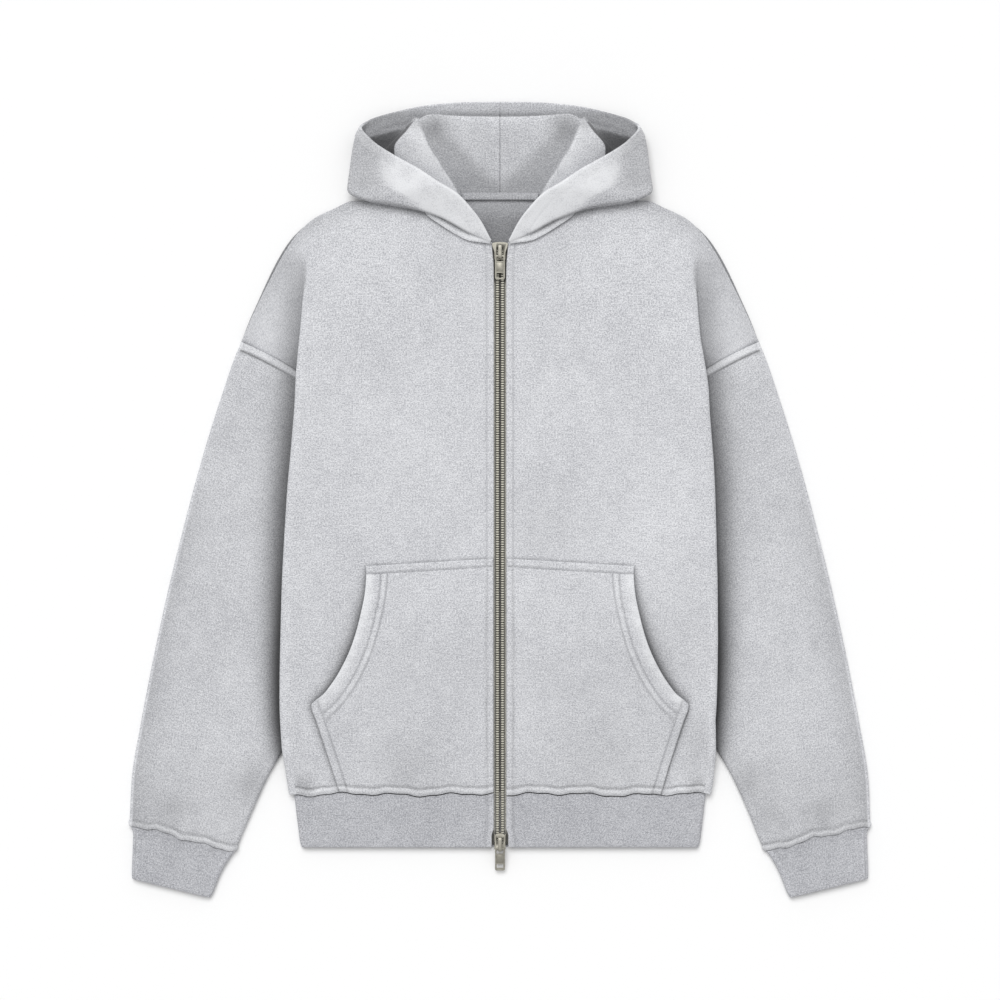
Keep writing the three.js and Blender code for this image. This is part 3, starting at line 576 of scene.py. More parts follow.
fleece = heather("heather_fleece", srgb(164, 165, 170), srgb(232, 233, 236), srgb(240, 241, 243),
                 srgb(46, 46, 47))
rib_knit = heather("rib_knit", srgb(142, 143, 149), srgb(214, 215, 219), srgb(232, 233, 236),
                   srgb(60, 60, 62), grain=0.0001, rib_pitch=0.0022, rib_depth=0.00012)
tape_cloth = heather("zip_tape", srgb(126, 125, 120), srgb(172, 170, 162), srgb(176, 174, 166),
                     srgb(44, 44, 42), rib_pitch=0.0012, rib_depth=0.0001)
thread = heather("thread", srgb(168, 169, 174), srgb(214, 215, 219), srgb(230, 231, 235),
                 srgb(150, 150, 152))
print("cloth materials:", [m.name for m in (fleece, rib_knit, tape_cloth, thread)])

# %% [markdown]
# The zip is metal with an antique silver finish: warm grey, satin and unevenly tarnished. A slow
# noise varies the roughness and the tone, and a fine one gives the tumbled grain in the bump. The line
# where the closed teeth meet lies in shade, so their metal has painted shade near the middle line of the zip.

# %% Metal material


def cast_metal(name, dark, light, metallic, shaded_middle=False):
    """Satin metal, with painted shade along the zip's middle line if asked for."""
    material, tree, shader = new_material(name)
    start = Value(tree, None)
    where = start.node("ShaderNodeTexCoord", output="Object")
    tarnish = start.node("ShaderNodeTexNoise", {"Vector": where, "Scale": 260.0, "Detail": 3.0})
    tumbled = start.node("ShaderNodeTexNoise", {"Vector": where, "Scale": 2600.0, "Detail": 2.0})
    tone = (tarnish * 0.8 + tumbled * 0.3).clamped()
    colour = tone.between(dark, light)
    # Painted shade in the gap where the two rows of teeth meet.
    if shaded_middle:
        across = start.node("ShaderNodeSeparateXYZ", {0: where}, output=0)
        beside = start.node("ShaderNodeMath", {0: across}, operation="ABSOLUTE")
        middle_shade = (1.0 - (beside - 0.0007) / 0.0012).clamped()
        colour = middle_shade.between(colour, srgb(104, 100, 90))
    feed(tree, shader, "Base Color", colour)
    feed(tree, shader, "Roughness", tarnish * 0.25 + 0.4)
    shader.inputs["Metallic"].default_value = metallic
    bump = start.node("ShaderNodeBump", {"Height": tumbled, "Distance": 0.00003, "Strength": 0.6})
    feed(tree, shader, "Normal", bump)
    return material


metal = cast_metal("zip_metal", srgb(120, 117, 106), srgb(198, 195, 184), 0.85)
teeth_metal = cast_metal("zip_teeth_metal", srgb(150, 147, 134), srgb(228, 226, 214), 0.5, True)
print("metal:", metal.name, teeth_metal.name)


def finish(obj, material, body="cloth"):
    """Gives a piece its material and the body that it rides on."""
    obj.data.materials.clear()
    obj.data.materials.append(material)
    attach(obj, body)
    return obj


# %% [markdown]
# The pocket's outline comes first, because the front below it gets painted shade along its open edge.
# How far a place lies from such an outline decides where turned hems, grooves and shade run.

# %% Outline of the pockets


def along(points, shares):
    """Places along a polyline, by share of its length."""
    points = np.array(points, float)
    length = np.concatenate([[0], np.cumsum(np.linalg.norm(np.diff(points, axis=0), axis=1))])
    at = np.asarray(shares) * length[-1]
    return np.stack([np.interp(at, length, points[:, k]) for k in range(points.shape[1])], -1)


pocket_out = track(POCKET, "down", "out")
POCKET_TOP = 566
POCKET_CORNER = 706
POCKET_END = 791.6
OPENING_STITCHES = (14.6, 21)
EDGE_STITCH = 8.4
TOP_BAND = 7.8


def distance_to(points, line):
    """Distance of layout places from a polyline."""
    fine = along(line, np.linspace(0, 1, 160))
    gap = points[..., None, :] - fine
    return np.sqrt((gap ** 2).sum(-1)).min(-1)


def level_line(start, end, count=40):
    down = np.linspace(start, end, count)
    return np.stack([pocket_out(down), down], -1)


opening = level_line(POCKET_TOP, POCKET_CORNER)
slant = level_line(POCKET_CORNER, POCKET_END)
last_step = opening[-1] - opening[-3]
past_corner = opening[-1] + np.outer([10, 20, 30], last_step) / np.linalg.norm(last_step)
long_opening = np.concatenate([opening, past_corner])
top_edge_out = np.linspace(ZIP_EDGE_OUT + 0.4, float(pocket_out(POCKET_TOP)), 30)
top_share = (top_edge_out - top_edge_out[0]) / (top_edge_out[-1] - top_edge_out[0])
top_edge = np.stack([top_edge_out, POCKET_TOP - POCKET_RISE * (1 - top_share)], -1)

print("pocket opening from", opening[0], "to", opening[-1])

# %% [markdown]
# Each front is one panel from the zip to the side. Near its side it folds under itself and lies on the
# sleeve, so it casts the soft shade that runs down beside the body; that shade is also painted into the
# cloth's colour further on. Above the underarm the fold fades out into the shoulder, and the panel runs
# on to the armhole seam. The panel is worked out row by row: the flat part from the tables, then the
# turn, the leg under it and the last edge as a smooth curve.

# %% Fronts
fold_out, fold_crest, fold_under, fold_leg, fold_formed = (
    track(FOLD, "down", key) for key in ("out", "crest", "under", "leg", "formed"))
top_down, top_z = (track(FRONT_TOP, "out", key) for key in ("down", "z"))
shoulder_out, shoulder_down = (track(SHOULDER, "share", key) for key in ("out", "down"))
armhole_z = track(ARMHOLE_LIFT, "share", "z")


def armhole_out(share):
    return mix(ARMHOLE["top_out"], ARMHOLE["end_out"], share)


def armhole_down(share):
    return mix(ARMHOLE["top_down"], ARMHOLE["end_down"], share) - ARMHOLE["bow"] * arch(share)


def front_face(out, level):
    """Middle of the front's cloth between the zip and its side fold, as out, down and height."""
    out, level = np.broadcast_arrays(np.asarray(out, float), np.asarray(level, float))
    lift = (NECK_DOWN - top_down(out)) * (1 - smooth((level - NECK_DOWN) / TOP_REACH))
    crest_out = fold_out(level) - CREST_INSET
    across = np.clip((out - ZIP_EDGE_OUT) / (crest_out - ZIP_EDGE_OUT), 0, 1)
    chest = mix(ZIP_EDGE_Z, fold_crest(level), across ** CHEST_RISE)
    below_neck = smooth((level - NECK_DOWN) / TOP_ROUNDING)
    return np.stack([out, level - lift, mix(top_z(out), chest, below_neck)], -1)


TURN = ((0.05, -2.2, 0.86), (0.08, 0, 0.48), (0.11, -2.6, 0.1))
LEG_SHARES = (0.5, 1)
LAST_SHARES = (0.06, 0.36, 0.68, 1)
LEAVES_ARMHOLE_DOWN = 384


def front_side(level, before):
    """Key points of one row from the crest on: round the fold, under it and to the last edge."""
    fold, crest, under = fold_out(level), fold_crest(level), fold_under(level)
    leg, formed = fold_leg(level), fold_formed(level)
    on_arm = min((level - NECK_DOWN) / (UNDERARM_DOWN - NECK_DOWN), 1)
    start = before[-1]
    end = np.array([armhole_out(on_arm), armhole_down(on_arm), armhole_z(on_arm)])

    def open_row(share):
        edge = (1 - on_arm) ** 2
        bulge_out = shoulder_out(share) - mix(shoulder_out(0), shoulder_out(1), share)
        bulge_down = shoulder_down(share) - mix(shoulder_down(0), shoulder_down(1), share)
        return np.array([mix(start[0], end[0], share) + bulge_out * edge,
                         mix(start[1], end[1], share) + bulge_down * edge,
                         mix(start[2], end[2], smooth(share * 2.2))])

    keys = list(before)
    for flat, out, z in TURN:
        keys.append(mix(open_row(flat), np.array([fold + out, level, mix(under, crest, z)]), formed))
    for s in LEG_SHARES:
        folded = np.array([fold - mix(2.6, leg, s), mix(level, max(level, start[1]), s), under])
        keys.append(mix(open_row(0.11 + 0.09 * s), folded, formed))
    turn_in = np.array([fold - leg - 2, level, mix(under, end[2], 0.5)])
    keys.append(mix(open_row(0.23), turn_in, formed))
    low = np.array([fold - leg, level, end[2]])
    passed = smooth((level - LEAVES_ARMHOLE_DOWN) / (UNDERARM_DOWN - LEAVES_ARMHOLE_DOWN))
    for s in LAST_SHARES:
        above = np.array([mix(low[0], end[0], s), mix(low[1], end[1], s), end[2]])
        drop = mix(mix(under, LYING_Z, 0.5), CLOTH + SEAM_GAP, s * 0.94 + 0.06)
        below = np.array([fold - leg - 2.2, level, drop])
        keys.append(mix(open_row(mix(0.26, 1, s)), mix(above, below, passed), formed))
    return np.array(keys)


SIDE_STEPS = (1, 5, 5, 5, 5, 4, 4, 4, 6, 6, 6)
WIDE_COLUMNS = 34
FINE_COLUMNS = 48
FINE_OUT = 126
NEAR_COLUMNS = 12
BOTTOM = HEM_SEAM_DOWN - 0.2
SEAM_FULL = [0.86, 0.93, 0.97, 0.99, 1]


def front_levels():
    """Levels of the rows of a front, and the part of its thickness that each row keeps."""
    neck = NECK_DOWN + EDGE_AWAY / UNIT
    seam = (BOTTOM - EDGE_AWAY / UNIT)[::-1]
    inner = np.concatenate([np.linspace(NECK_DOWN + 2.4, 262, 12), np.linspace(264.5, 762, 180),
                            np.linspace(764, 777, 8), np.linspace(778, BOTTOM - 2.2, 14)])
    full = np.concatenate([EDGE_FULL, np.ones(len(inner)), SEAM_FULL[::-1]])
    return np.concatenate([neck, inner, seam]), full


def front_grid():
    """Layout places of a whole front, row by row, and the thickness left at its edges."""
    levels, full = front_levels()
    edge = ZIP_EDGE_OUT + EDGE_AWAY / UNIT
    near_zip = np.linspace(edge[-1] + 0.6, 16, NEAR_COLUMNS)
    rows, faces = [], []
    for level in levels:
        crest = float(fold_out(level)) - CREST_INSET
        face_outs = [edge, near_zip, np.linspace(18.5, FINE_OUT, WIDE_COLUMNS),
                     np.linspace(FINE_OUT + 1.5, crest, FINE_COLUMNS)]
        face = front_face(np.concatenate(face_outs), level)
        rows.append(front_side(level, face[-2:]))
        faces.append(face)
    sides = spline_rows(np.array(rows), SIDE_STEPS)[:, SIDE_STEPS[0] + 1:]
    layout = np.concatenate([np.array(faces), sides], axis=1)
    across = np.ones(layout.shape[1])
    across[:len(edge)] = EDGE_FULL
    across[-1] = 0.5
    face_columns = len(edge) + NEAR_COLUMNS + WIDE_COLUMNS + FINE_COLUMNS
    return layout, full[:, None] * across, levels, face_columns


FRONT_CREASES = {
    "left": [
        (200, 262, 176, 330, 9, -0.9), (186, 300, 160, 372, 11, 0.8), (203, 388, 178, 452, 9, -0.8),
        (207, 742, 176, 778, 6, -0.9), (198, 766, 184, 791, 3.5, 1.2), (150, 236, 128, 300, 16, 0.7),
        (60, 262, 34, 330, 12, -0.6), (118, 500, 40, 545, 18, 0.5), (196, 640, 186, 700, 10, -0.5),
    ],
    "right": [
        (200, 268, 174, 344, 10, -0.9), (184, 296, 162, 356, 10, 0.7), (204, 396, 182, 470, 8, -0.9),
        (206, 748, 172, 782, 7, -0.8), (197, 770, 186, 791, 3.5, 1.0), (148, 240, 120, 312, 15, 0.6),
        (52, 258, 30, 318, 11, -0.5), (130, 470, 52, 528, 20, 0.5), (197, 620, 188, 690, 11, -0.5),
    ],
}


def body_lift(points, label):
    """Swells and creases of the body cloth, which the pocket over it shares."""
    side = SIDES[label]
    out = points[..., 0] / UNIT * side
    down = DOWN_OF_Y_ZERO - points[..., 1] / UNIT
    lift = creases(points, side, FRONT_CREASES[label]) + swells(points, 70, 0.9, 3 + side)
    return lift * smooth((down - NECK_DOWN) / 20) * smooth((out - 14) / 20)


PLACKET = 13.3


def placket(out):
    """Relief of the turned edge beside the zip: a raised band, then the groove of its stitching."""
    return 0.35 * smooth((PLACKET + 0.4 - out) / 1.2) - 0.55 * near(out - PLACKET, 0.9)


def gape(level):
    """How far the edges stand open beside the two sliders, in layout units."""
    return 1.7 * smooth((268 - level) / 24) + 2.0 * smooth((level - 828) / 8)


def opened(layout, level):
    """Layout places with the edge at the zip moved out beside the sliders."""
    moved = layout.copy()
    moved[..., 0] += gape(level) * smooth((34 - layout[..., 0]) / 24)
    return moved


def gathered(layout, level, side):
    """Layout places with the rows near the hem drawn down to its wavy seam."""
    moved = layout.copy()
    moved[..., 1] += seam_wave(layout[..., 0], 1.1 * side) * smooth((level - 760) / (BOTTOM - 760))
    return moved


def hem_puckers(out, level, side):
    """Small waves where the cloth is gathered into the hem band, and the raised seam at its end."""
    close = np.exp(-(BOTTOM - level) / 10)
    wave = pucker_wave(out, side) + 0.3 * np.sin(out * 0.83 + 2.1 * side)
    return close * wave * 0.5 + rope((BOTTOM - level) * UNIT)


# %% [markdown]
# Where one layer lies on another, the lower one is darker beside the edge. Seen from above, that
# shade tells most about the layers, and soft light alone leaves it too faint. So it is painted into
# the cloth's colour here as painted shade, from how far a place lies from the edge over it, with a
# reach and a depth for each level.

# %% Painted shade beside edges
POCKET_SHADE = table("down reach depth", [
    (560, 1.4, 0.25), (575, 3, 0.62), (600, 6, 0.72), (650, 7.5, 0.84), (690, 5, 0.82), (706, 2.6, 0.55),
    (791, 2.0, 0.36),
])
FOLD_SHADE = table("down reach depth", [
    (250, 20, 0), (265, 20, 0.25), (290, 22, 0.4), (345, 21, 0.5), (365, 19, 0.68), (390, 20, 0.6),
    (430, 20, 0.68), (480, 20, 0.72), (540, 19, 0.76), (600, 17, 0.86), (660, 16.5, 0.93),
    (720, 15, 0.92), (750, 12, 0.82), (775, 9, 0.5), (800, 7, 0.15),
])
FOLD_SHIFT = table("down out", [
    (340, 0), (390, 4), (460, 3.5), (550, 0), (640, -1.5), (720, -4.5), (775, 0),
])
HOOD_FOOT = [(151, 192), (149, 197), (134, 199.5), (120, 200.5), (100, 204), (80, 211), (62, 219.5),
             (50, 227)]
SHOULDER_LINE = [(147, 200.5), (166, 208), (184, 216.5)] + list(zip(SHOULDER["out"], SHOULDER["down"]))
BODY_SHADE_SPOTS = {
    "left": [(90, 765, 34, 0.12), (196, 783, 11, 0.26)],
    "right": [(40, 530, 44, 0.1), (168, 650, 60, 0.08), (100, 765, 50, 0.12), (198, 740, 26, 0.12),
              (196, 783, 11, 0.2)],
}


def at_level(rows, down):
    """Reach and depth of a shade at a level."""
    return (np.interp(down, rows["down"], rows[key]) for key in ("reach", "depth"))


def cast_on_front(layout):
    """Painted shade on the front beside the pocket's open edge and painted shadow under the hood, from 0 to
    1.
    """
    flat = layout[..., :2]
    down = flat[..., 1]
    reach, depth = at_level(POCKET_SHADE, down)
    away = distance_to(flat, level_line(POCKET_TOP, POCKET_END, 120))
    beside = depth * np.exp(-(away / reach) ** 1.3) * smooth((down - POCKET_TOP + 3) / 6)
    top = 0.34 * near(distance_to(flat, top_edge), 1.8) * smooth((down - 540) / 8)
    from_hood = distance_to(flat, np.array(HOOD_FOOT, float))
    under = 0.42 * near(from_hood, 4.2, 1.2) * smooth((252 - down) / 12)
    return np.maximum(np.maximum(beside, top), under)


def beside_fold(out, down):
    """Painted shade on the shoulder and the sleeve in the crease beside the body fold, from 0 to 1."""
    reach, depth = at_level(FOLD_SHADE, down)
    return depth * near(np.maximum(out - fold_out(down), 0), reach)


def fold_shift(side, down):
    """How far the side fold of the right front lies out from that of the left one, in layout units."""
    return max(side, 0) * np.interp(down, FOLD_SHIFT["down"], FOLD_SHIFT["out"])


def soft_shade_spots(out, down, rows):
    """Round soft patches of painted shade, from rows of out, down, radius and depth."""
    return sum(depth * np.exp(-((out - o) ** 2 + (down - d) ** 2) / radius ** 2)
               for o, d, radius, depth in rows)


print("shade beside the fold at level 600:", float(beside_fold(217, 600)))

# %% [markdown]
# Now the two fronts are made. Both start from one grid. Each side then gets its own swells, creases
# and puckers, because no real garment lies the same on its left and its right.

# %% Both fronts
TURN_SHADE_COLUMNS = 21
layout, full, levels, face_columns = front_grid()
out, level = layout[..., 0], levels[:, None] * np.ones(layout.shape[1])
column = np.arange(layout.shape[1])[None, :]
past_turn = smooth((column - face_columns - TURN_SHADE_COLUMNS * smooth((level - 280) / 60)) / 6)
# Painted shade on the shoulder beside the body fold.
shade_on_shoulder = beside_fold(out, layout[..., 1]) * smooth((408 - level) / 8) * past_turn
# Painted shade along the rounded shoulder edge.
shoulder_edge_shade = 0.15 * near(distance_to(layout[..., :2], np.array(SHOULDER_LINE, float)), 13)
on_face = np.where(np.arange(layout.shape[1]) < face_columns, 1.0, 0.0)[None, :]
from_seam = (BOTTOM - level) * UNIT
# Paler along the raised seam rope, partly washed-out wear and partly painted highlight.
wear = np.clip(0.35 * near(from_seam - ROPE_AT, 2.2) * on_face, 0, 1)
# Painted shade in the placket groove, beside the seam rope, beside the pocket and under the hood, with a
# plain tone a little darker towards the bottom.
shade = (0.16 + 0.1 * smooth((level - 560) / 20)) * near(out - PLACKET, 1.0) + rope_shade(from_seam)
low_tone = 0.02 * smooth((level - 500) / 160)
shade = np.maximum(shade, cast_on_front(layout) + low_tone) * on_face + shade_on_shoulder * (1 - on_face)
shade = shade + shoulder_edge_shade
layout = opened(layout, level)
placket_column = int(np.argmin(abs(out[60, :face_columns] - PLACKET)))
for label, side in SIDES.items():
    laid = gathered(layout, level, side)
    at_fold = smooth((layout[..., 0] - 186) / 14) * smooth((face_columns + 26 - column) / 8)
    laid[..., 0] += fold_shift(side, laid[..., 1]) * at_fold
    # Soft patches of painted shade are added on the face of the front.
    tone = shade + on_face * soft_shade_spots(out, level, BODY_SHADE_SPOTS[label])
    grid = place(side, laid[..., 0], laid[..., 1], laid[..., 2])
    lift = body_lift(grid, label) * (0.25 + 0.75 * on_face)
    grid = grid + grid_normals(grid, False, (20, 20)) * lift[..., None]
    relief = on_face * (placket(out) + hem_puckers(out, level, side))
    front, surface = wall("front_" + label + "_cloth", grid, CLOTH * full, up_at=(20, 20),
                          relief=relief, wear=wear, inner=tone)
    finish(front, fleece)
    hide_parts("front_" + label)
    STITCHES.append(surface[4:-12, placket_column])
    print(front.name, len(front.data.polygons), "faces")

# %% [markdown]
# The back lies flat on the table. Only a strip of it shows, inside the neck, so a flat panel with the
# same outline does. Its edge follows the neck, shoulder, armhole and side lines of the fronts.

# %% Back
BACK_EDGE = [(0, 197.2), (30, 197.2), (46, 198.4), (62, 202.5), (74, 206.5), (92, 204), (120, 201),
             (147, 200.5), (166, 208), (184, 216.5)]
share = np.linspace(0, 1, 21)
down = np.linspace(UNDERARM_DOWN, BOTTOM, 25)
top_line = np.concatenate([BACK_EDGE, np.stack([shoulder_out(share), shoulder_down(share)], -1)])
side_line = np.concatenate([np.stack([armhole_out(share), armhole_down(share)], -1),
                            np.stack([fold_out(down) - fold_leg(down) - 3.4, down], -1)])
row_shares, row_full = edged(np.linspace(0, 1, 91), 620)
column_shares, column_full = edged(np.linspace(0, 1, 61), 300, start=False)
u = column_shares[None, :, None]
v = row_shares[:, None, None]
top = along(top_line, column_shares)[None]
bottom = along([(0, BOTTOM), tuple(side_line[-1])], column_shares)[None]
middle = along([BACK_EDGE[0], (0, BOTTOM)], row_shares)[:, None]
outer = along(side_line, row_shares)[:, None]
corners = ((1 - u) * (1 - v) * top[:, :1] + u * (1 - v) * top[:, -1:]
           + (1 - u) * v * bottom[:, :1] + u * v * bottom[:, -1:])
patch = (1 - v) * top + v * bottom + (1 - u) * middle + u * outer - corners
layout = np.concatenate([(patch * [-1, 1])[:, :0:-1], patch], axis=1)
thin = row_full[:, None] * np.concatenate([column_full[:0:-1], column_full])
points = place(1, layout[..., 0], layout[..., 1], 0.0)
back_top = points + np.stack([thin * 0, thin * 0, CLOTH * (0.55 + 0.45 * thin)], -1)
back_low = points + np.stack([thin * 0, thin * 0, CLOTH * 0.35 * (1 - thin)], -1)
# Painted shade on the strip of the back inside the neck, darker towards the bottom.
shade_inside_neck = mix(0.36, 0.62, smooth((layout[..., 1] - 199) / 30))
back = mesh_between("back_cloth", back_top, back_low, uv=points[..., :2] * 0.001, inner=shade_inside_neck)
finish(back, fleece)
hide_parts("back")
print(back.name, len(back.data.polygons), "faces")

# %% [markdown]
# A pocket is a patch of the same fleece, sewn on the front at its top, along the zip and at the hem.
# Its slanted hand opening is turned in and held by two lines of stitching, so it lies a little proud
# there. The patch is made from the front's own points, moved out, so it follows each swell of the
# front. How far each place lies from an edge decides where the turned hems and the grooves run.

# %% Pockets
def offset_line(line, distance):
    """A layout polyline moved towards the zip by a distance."""
    step = np.gradient(line, axis=0)
    step /= np.linalg.norm(step, axis=1, keepdims=True)
    return line + np.stack([-step[:, 1], step[:, 0]], -1) * distance


def on_pocket(line, label, lift):
    """A layout line carried onto the pocket's outer face, in millimetres."""
    side = SIDES[label]
    fine = along(line, np.linspace(0, 1, max(8, int(len(line) * 2))))
    base = front_face(fine[:, 0], fine[:, 1])
    points = place(side, base[:, 0], base[:, 1], base[:, 2])
    rise = front_face(fine[:, 0] + 2, fine[:, 1])[:, 2] - base[:, 2]
    normal = np.stack([-side * rise / (2 * UNIT), rise * 0, rise * 0 + 1], -1)
    normal /= np.linalg.norm(normal, axis=1, keepdims=True)
    height = CLOTH * 1.5 + POCKET_CLEAR + lift + body_lift(points, label)
    return points + normal * height[:, None]


rows = np.concatenate([np.linspace(POCKET_TOP, 577, 12), np.linspace(579, 700, 62),
                       np.linspace(701, 711, 11), np.linspace(713, 776, 28),
                       np.linspace(777.5, POCKET_END, 12)])
row_share, pocket_rows_full = edged((rows - POCKET_TOP) / (POCKET_END - POCKET_TOP), 236)
pocket_rows_full[-len(SEAM_FULL):] = SEAM_FULL[::-1]
column_share = np.concatenate([np.linspace(0, 0.05, 5), np.linspace(0.066, 0.09, 4),
                               np.linspace(0.11, 0.74, 32), np.linspace(0.75, 1, 52)])
column_share, pocket_columns_full = edged(column_share, 165)
level = (POCKET_TOP + row_share * (POCKET_END - POCKET_TOP))[:, None]
rise = POCKET_RISE * ((POCKET_END - level) / (POCKET_END - POCKET_TOP)) ** 2
out = mix(ZIP_EDGE_OUT + 0.4, pocket_out(level), column_share[None, :])
layout = front_face(out, level - rise * (1 - column_share[None, :]))
flat = layout[..., :2]
to_opening, to_slant = distance_to(flat, opening), distance_to(flat, slant)
to_top = distance_to(flat, top_edge)
under_band = smooth((to_top - TOP_BAND) / 1.5)
on_opening = smooth((POCKET_CORNER + 24 - level) / 8) * under_band
on_opening = on_opening * smooth((to_slant - EDGE_STITCH + 1) / 1.5)
hem_turn = 0.45 * smooth((22.5 - to_opening) / 1.5) * on_opening
relief = hem_turn + 0.45 * smooth((TOP_BAND - to_top) / 1.2) + 0.4 * smooth((EDGE_STITCH - to_slant) / 1.2)
to_long = distance_to(flat, long_opening)
grooves = sum(near(to_long - d, 0.95) for d in OPENING_STITCHES) * on_opening
for distance, width in ((to_top, TOP_BAND), (to_slant, EDGE_STITCH)):
    grooves = np.maximum(grooves, near(distance - width, 0.95))
relief = relief - 0.55 * grooves
level_wide = level * np.ones(out.shape[1])
from_seam = (BOTTOM - level_wide) * UNIT
seam_rope = rope(from_seam)
close = 1 - np.exp(-(from_seam / 9))
# A pale band along the turned opening and the seam rope, partly washed-out wear and partly painted highlight.
wear = 0.62 * near(to_opening, 8, 3) * on_opening + 0.2 * near(to_opening - 17.8, 2) * on_opening
wear = np.clip(wear + 0.35 * near(from_seam - ROPE_AT, 2.2), 0, 1)
# Painted shade in the stitch grooves, the placket groove, beside the rope and along the slanted edge; the
# lower pocket is a little darker towards the bottom.
placket_shade = 0.24 * near(out - PLACKET, 1.0)
shade = np.clip(np.maximum(0.27 * grooves, placket_shade) + rope_shade(from_seam), 0, 0.6)
shade = np.maximum(shade, 0.4 * near(to_slant, 0.9)) + 0.06 * smooth((level_wide - 590) / 70)
keep = pocket_rows_full[:, None] * pocket_columns_full
thick = CLOTH * (1 - 0.5 * (1 - close)) * keep
turned = smooth((13.5 - to_opening) / 3) * on_opening
for label, side in SIDES.items():
    base = gathered(layout, level_wide, side)
    base = place(side, base[..., 0], base[..., 1], base[..., 2])
    n = grid_normals(base, False, (8, 8))
    folds = body_lift(base, label) + (hem_puckers(out, level_wide, side) - seam_rope) * 0.8
    base = base + n * folds[..., None]
    tone = shade + soft_shade_spots(out, level_wide, BODY_SHADE_SPOTS[label])
    dents = swells(base, 9, 1.3, 40 + side) * turned + swells(base, 26, 0.5, 44 + side) * close
    low_at = CLOTH / 2 + 0.2 + (POCKET_CLEAR - 0.2) * close + seam_rope
    high = base + n * (low_at + thick + relief + placket(out) + dents)[..., None]
    low = base + n * (low_at + CLOTH * 0.2 * (1 - keep))[..., None]
    pocket = mesh_between("pocket_" + label + "_cloth", high, low, False, wear, cloth_uv(base), tone)
    finish(pocket, fleece)
    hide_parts("pocket_" + label)
    for distance in OPENING_STITCHES:
        STITCHES.append(on_pocket(offset_line(opening, distance)[2:-3], label, 0.0))
    STITCHES.append(on_pocket(offset_line(slant, EDGE_STITCH)[2:-4], label, -0.05))
    STITCHES.append(on_pocket(top_edge + [0, TOP_BAND], label, 0.0)[6:-3])
    print(pocket.name, len(pocket.data.polygons), "faces")

# %% [markdown]
# A sleeve is a tube pressed flat, and so is its ribbed cuff. The maker sews the sleeve into the
# armhole with a flat seam that shows as a paler raised band, and gathers its end into the cuff. Each
# ring of the tube runs round both folded edges. Ribs are too fine to model, so the cuff's material
# draws them, running along the arm.

# %% Sleeves and cuffs
RING_FRONT = 84
RING_TURN = 9
RING_BACK = 30
ring_column = np.arange(RING_FRONT + RING_BACK + 2 * RING_TURN)
on_top = (ring_column < RING_FRONT + RING_TURN) * 1.0
not_under = on_top + (ring_column >= RING_FRONT + RING_TURN + RING_BACK)


def tube_grid(rows, thickness, shares):
    """Rings of a flat tube in layout units, the outer fold first, and the front's part of each ring."""
    names = ("outer_out", "outer_down", "inner_out", "inner_down", "height", "bow")
    outer_out, outer_down, inner_out, inner_down, height, bow = (
        track(rows, "share", name)(shares)[:, None] for name in names)
    half = (height - thickness) / 2
    middle = height / 2
    length = np.hypot(inner_out - outer_out, inner_down - outer_down) * UNIT
    inset = (half + thickness / 2) / length
    angle = np.radians(np.linspace(72, -72, RING_TURN))[None, :]
    front = mix(inset, 1 - inset, np.linspace(0, 1, RING_FRONT)[None, :])
    back = mix(inset, 1 - inset, np.linspace(1, 0, RING_BACK)[None, :])
    along_ring = np.concatenate([front, 1 - inset + np.cos(angle) * half / length, back,
                                 inset - np.cos(angle) * half / length], axis=1)
    z = np.concatenate([front * 0 + middle + half, middle + np.sin(angle) * half,
                        back * 0 + middle - half, middle - np.sin(angle) * half], axis=1)
    out = mix(outer_out, inner_out, along_ring)
    down = mix(outer_down, inner_down, along_ring) - bow * arch(along_ring)
    top = np.concatenate([smooth(arch(np.linspace(0, 1, RING_FRONT)) * 2.2),
                          np.zeros(RING_BACK + 2 * RING_TURN)])
    return np.stack([out, down, z], -1), top


SLEEVE_CREASES = {
    "left": [
        (300, 470, 226, 500, 13, 0.9), (306, 500, 214, 470, 9, -0.7), (352, 690, 300, 716, 12, 0.8),
        (365, 770, 268, 806, 8, 0.9), (368, 792, 300, 820, 6, -0.9), (270, 380, 214, 420, 14, 0.7),
        (330, 600, 250, 640, 18, 0.6), (362, 742, 250, 770, 9, -0.7),
    ],
    "right": [
        (302, 482, 232, 520, 14, 0.8), (312, 520, 216, 486, 10, -0.7), (355, 700, 292, 728, 12, 0.8),
        (366, 776, 262, 812, 8, 0.9), (369, 798, 312, 822, 6, -0.9), (268, 372, 222, 428, 15, 0.7),
        (336, 620, 244, 652, 19, 0.6), (360, 748, 262, 782, 9, -0.7),
    ],
}
SLEEVE_SHADE_SPOTS = {"left": [(330, 812, 18, 0.13), (248, 785, 18, 0.14)],
                "right": [(243, 782, 20, 0.16), (270, 815, 16, 0.12), (324, 812, 18, 0.15)]}
SEAM_BAND = 6.2
ARM_BAND = 8.4


def seam_band(distance, height=0.8, wide=ARM_BAND):
    """A raised flat seam of a width, rounded over, and the groove of the stitching beside it."""
    round_top = np.sqrt(np.clip(1 - ((distance - wide / 2) / (wide / 2)) ** 2, 0, 1))
    return height * round_top - 0.6 * near(distance - wide - 0.4, 0.9)


def ring_distance(grid, start):
    """Distance of each ring of a tube from its first or last one, in millimetres."""
    step = np.linalg.norm(np.diff(grid, axis=0), axis=2)
    length = np.concatenate([np.zeros((1, grid.shape[1])), np.cumsum(step, axis=0)])
    return length if start else length[-1:] - length


def tube_puckers(out, phase):
    """Small waves round the gathered end of a tube, by the place across it."""
    return (np.sin(out * 0.36 + phase) + 0.8 * np.sin(out * 0.17 + 2 * phase)
            + 0.4 * np.sin(out * 0.83 + 3 * phase)) * 0.45


def ring_wave(rings, share, start, phase):
    """Rings of a tube whose gathered end follows the wave of its seam."""
    moved = rings.copy()
    toward = smooth(1 - share / start) if start > 0 else smooth((share - 1 - start) / -start)
    moved[..., 1] += (seam_wave(rings[..., 0] * 1.3, phase) - 1.0) * toward[:, None]
    return moved


